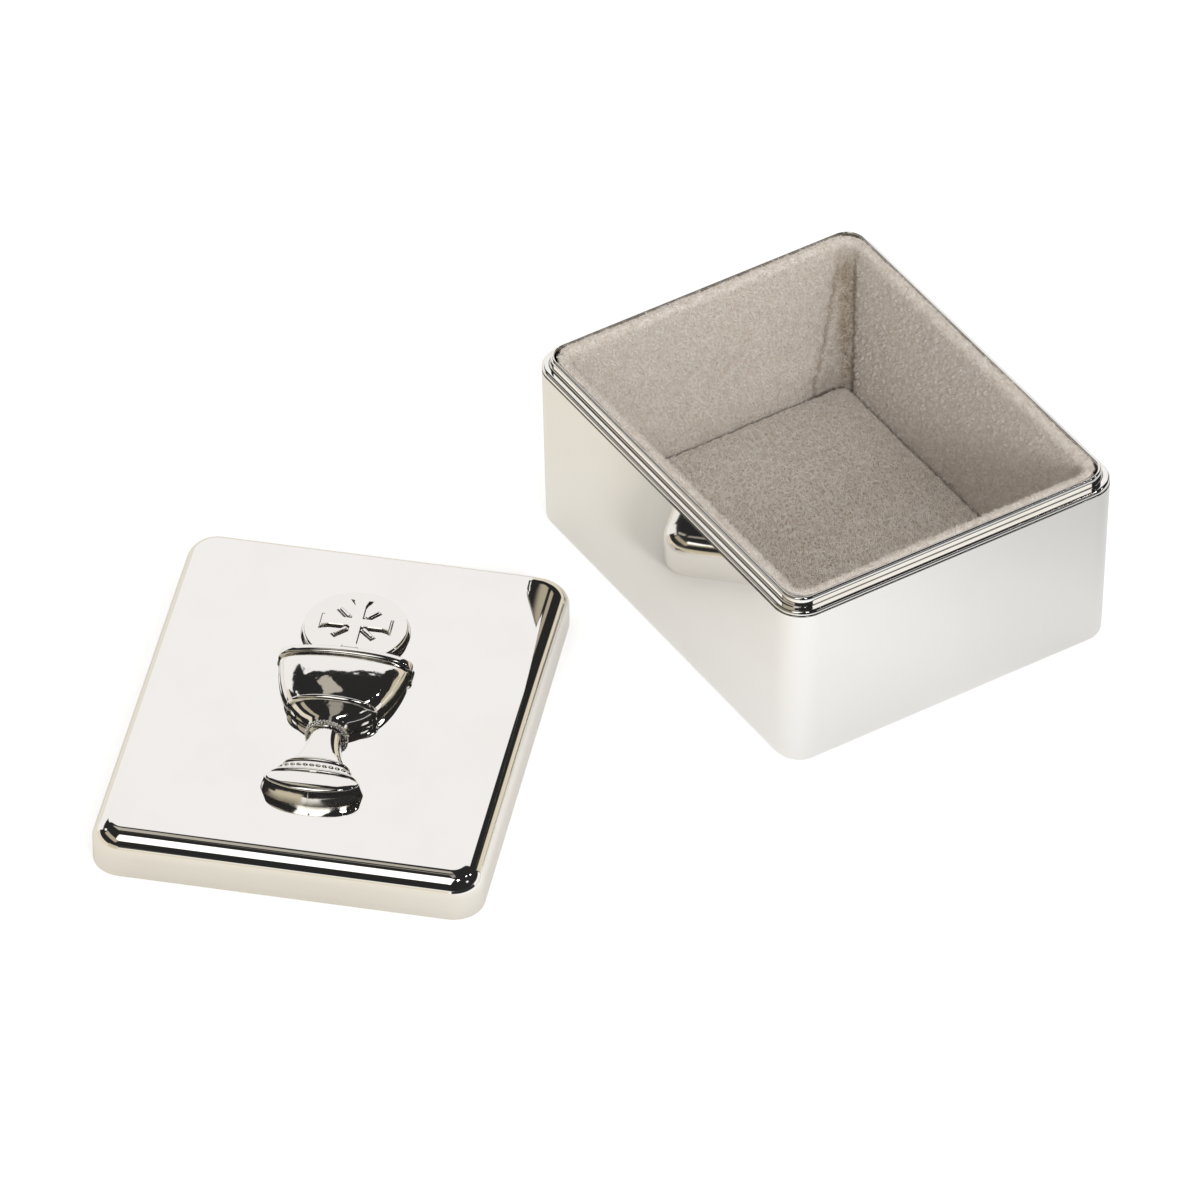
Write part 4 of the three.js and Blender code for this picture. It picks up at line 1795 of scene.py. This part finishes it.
@dataclass(frozen=True)
class SkyPatch:
    """A soft-edged panel of the studio, bright or dark, as polished metal sees it.

    Heading is clockwise from the way the camera looks, in degrees, and elevation is above the
    horizon. The half sizes and the softness are in degrees as well.
    """

    heading: float
    elevation: float
    half_width: float
    half_height: float
    softness: float
    colour: Colour

    def axes(self, studio_heading: float) -> tuple[Vector, Vector, Vector]:
        """Returns the patch's own right, middle and up directions.

        Args:
            studio_heading: the way that headings are counted from, in radians about Z.

        Returns:
            Three unit vectors.
        """
        turn = Matrix.Rotation(studio_heading - math.radians(self.heading), 3, "Z")
        tip = Matrix.Rotation(math.radians(self.elevation), 3, "X")
        return tuple((turn @ tip) @ Vector(axis) for axis in ((1, 0, 0), (0, 1, 0), (0, 0, 1)))

    def mask(self, graph: NodeGraph, direction: object, studio_heading: float) -> Node:
        """Draws where the patch is.

        Args:
            graph: the world's graph.
            direction: the direction that is looked in.
            studio_heading: the way that headings are counted from, in radians.

        Returns:
            A node whose value is 1 on the patch and 0 off it.
        """
        right, middle, up = (
            graph.vector("DOT_PRODUCT", {0: direction, 1: axis}).outputs["Value"]
            for axis in self.axes(studio_heading)
        )
        masks = []
        for side, half in ((right, self.half_width), (up, self.half_height)):
            angle = graph.math("ABSOLUTE", graph.math("ARCTAN2", side, middle))
            low, high = math.radians(half - self.softness), math.radians(half + self.softness)
            masks.append(graph.spread(angle, low, high, (1.0, 0.0)))
        return graph.math("MULTIPLY", *masks)


@dataclass
class Studio:
    """The pale floor, the soft light, and the studio that the silver mirrors."""

    view: ViewPoint
    floor_half: float = 4.0
    floor_level: float = -0.02 * MM
    floor_colour: Colour = (0.94, 0.955, 0.975)
    # Painted light in the silver's reflections: the floor is warmer to the view's left, dimmer to its right.
    warm_floor_colour: Colour = (0.76, 0.73, 0.65)
    dim_floor_colour: Colour = (0.53, 0.545, 0.56)
    warm_band: Pair = (-0.08, 0.005)
    dim_band: Pair = (0.02, 0.08)
    floor_glow: float = 0.4
    mirrored_glow: float = 0.13
    plain_colour: Colour = (1.0, 0.975, 0.94)
    plain_level: float = 0.75
    room: Colour = (0.022, 0.022, 0.022)
    cove_height: float = 14.0
    cove_softness: float = 1.5
    cove_colour: Colour = (0.95, 0.94, 0.9)
    lamp_size: float = 0.45
    lamp_power: float = 9
    lamp_heading: float = math.radians(22)
    lamp_elevation: float = math.radians(27)
    lamp_distance: float = 1.5
    patches: tuple[SkyPatch, ...] = (
        SkyPatch(-110, 6, 55, 10, 2.0, (0.80, 0.73, 0.60)),
        SkyPatch(145, 7, 42, 10, 2.0, (0.03, 0.03, 0.03)),
        SkyPatch(-40, 15, 22, 16, 1.5, (0.935, 0.925, 0.915)),
        SkyPatch(3, 21, 23, 24.5, 0.9, (0.935, 0.925, 0.923)),
        SkyPatch(-14, 60, 4.5, 9, 1.0, (0.47, 0.44, 0.38)),
        SkyPatch(-14, 84, 4.5, 9, 1.0, (0.32, 0.30, 0.26)),
        SkyPatch(207, 64, 9, 16, 1.0, (1.6, 1.58, 1.52)),
        SkyPatch(-112, 48, 26, 8, 1.0, (0.45, 0.40, 0.31)),
        SkyPatch(-140, 13, 16, 7, 1.5, (0.60, 0.55, 0.42)),
        SkyPatch(-65, 41, 4, 4, 1.0, (1.0, 0.98, 0.95)),
        SkyPatch(115, 41, 4, 4, 1.0, (1.0, 0.98, 0.95)),
        SkyPatch(74, 46, 1.8, 1.8, 0.5, (9.0, 9.0, 8.8)),
        SkyPatch(85.5, 58, 1.2, 1.2, 0.4, (20.0, 20.0, 19.5)),
        SkyPatch(144, 68, 3.0, 3.0, 0.8, (9.0, 9.0, 8.8)),
    )

    def floor(self) -> Piece:
        """Builds the floor, pale paper that takes the object's shadow and shows painted light in reflections.

        Returns:
            The floor.
        """
        half, level = self.floor_half, self.floor_level
        mesh = bpy.data.meshes.new("floor")
        corners = [(-half, -half, level), (half, -half, level), (half, half, level), (-half, half, level)]
        mesh.from_pydata(corners, [], [(0, 1, 2, 3)])
        piece = link("floor", mesh)
        material, graph = new_material("floor_paper")
        path = graph.add("ShaderNodeLightPath").outputs
        glows = {"Is Camera Ray": self.floor_glow, "Is Transmission Ray": self.floor_glow,
                 "Is Glossy Ray": self.mirrored_glow}
        seen, clear, glossy = (graph.math("MULTIPLY", path[ray], glow) for ray, glow in glows.items())
        strength = graph.math("ADD", graph.math("ADD", seen, clear), glossy)
        place = graph.add("ShaderNodeTexCoord").outputs["Object"]
        # Painted light: only glossy rays see the floor warmer to the left and dimmer to the right.
        turned = graph.add("ShaderNodeMapping", {"Vector": place, "Rotation": (0.0, 0.0, -self.view.heading)})
        aside = graph.add("ShaderNodeSeparateXYZ", {0: turned}).outputs["X"]
        warm = graph.spread(aside, *self.warm_band, (1.0, 0.0))
        tone = graph.blend(warm, self.floor_colour, self.warm_floor_colour)
        tone = graph.blend(graph.spread(aside, *self.dim_band), tone, self.dim_floor_colour)
        shown = graph.blend(path["Is Glossy Ray"], self.floor_colour, tone)
        paper = graph.add("ShaderNodeBsdfDiffuse", {"Color": shown})
        glow = graph.add("ShaderNodeEmission", {"Strength": strength})
        both = graph.add("ShaderNodeAddShader", {0: paper, 1: glow})
        graph.add("ShaderNodeOutputMaterial", {"Surface": both})
        mesh.materials.append(material)
        return piece

    def world(self) -> None:
        """Builds the world: plain for matt surfaces, panels for polished ones, white for the camera."""
        world = bpy.data.worlds.new("studio")
        bpy.context.scene.world = world
        world.use_nodes = True
        graph = NodeGraph(world.node_tree)
        direction = graph.add("ShaderNodeTexCoord").outputs["Generated"]
        path = graph.add("ShaderNodeLightPath").outputs
        height = graph.add("ShaderNodeSeparateXYZ", {0: direction}).outputs["Z"]
        low, high = (math.sin(math.radians(self.cove_height + part))
                     for part in (-self.cove_softness, self.cove_softness))
        mirrored = graph.blend(graph.spread(height, low, high, (1.0, 0.0)), self.room, self.cove_colour)
        for patch in self.patches:
            mask = patch.mask(graph, direction, self.view.heading)
            mirrored = graph.blend(mask, mirrored, patch.colour)
        plain = graph.add("ShaderNodeBackground", {
            "Color": opaque(self.plain_colour), "Strength": self.plain_level,
        })
        panels = graph.add("ShaderNodeBackground", {"Color": mirrored, "Strength": 1.0})
        white = graph.add("ShaderNodeBackground", {"Color": (1, 1, 1, 1), "Strength": 1.0})
        lit = graph.add("ShaderNodeMixShader", {0: path["Is Glossy Ray"], 1: plain, 2: panels})
        clear = graph.math("MAXIMUM", path["Is Camera Ray"], path["Is Transmission Ray"])
        shown = graph.add("ShaderNodeMixShader", {0: clear, 1: lit, 2: white})
        graph.add("ShaderNodeOutputWorld", {"Surface": shown})

    def key_lamp(self) -> Piece:
        """Hangs the large soft lamp beside the camera's line of sight, and lower.

        Returns:
            The lamp.
        """
        data = bpy.data.lights.new("key_lamp", "AREA")
        data.shape = "DISK"
        data.size, data.energy = self.lamp_size, self.lamp_power
        lamp = link("key_lamp", data)
        back = toward(self.view.heading + self.lamp_heading, self.lamp_elevation)
        lamp.location = back * self.lamp_distance
        lamp.rotation_euler = (-back).to_track_quat("-Z", "Y").to_euler()
        lamp.visible_glossy = False
        return lamp

    def build(self) -> None:
        """Builds the studio."""
        self.view.build()
        self.floor()
        self.world()
        self.key_lamp()
        bpy.context.scene.view_settings.view_transform = "Standard"


def report(pieces: Sequence[Piece]) -> None:
    """Logs each piece and its triangles.

    Args:
        pieces: the mesh objects.
    """
    for piece in pieces:
        triangles = sum(len(face.vertices) - 2 for face in piece.data.polygons)
        log.info("%s: %d triangles", piece.name, triangles)


def write_sizes() -> None:
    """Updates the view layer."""
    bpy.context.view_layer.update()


def main() -> None:
    """Builds the studio and every sub-assembly."""
    logging.basicConfig(level=logging.INFO, format="%(name)s: %(message)s")
    Studio(ViewPoint()).build()
    finishes = Finishes()
    body = BoxBody(finishes)
    report(body.build())
    report(Lining(finishes, body).build())
    lid = BoxLid(finishes, body)
    report(lid.build())
    report(ChaliceRelief(finishes, lid).build())
    write_sizes()


if __name__ == "__main__":
    main()
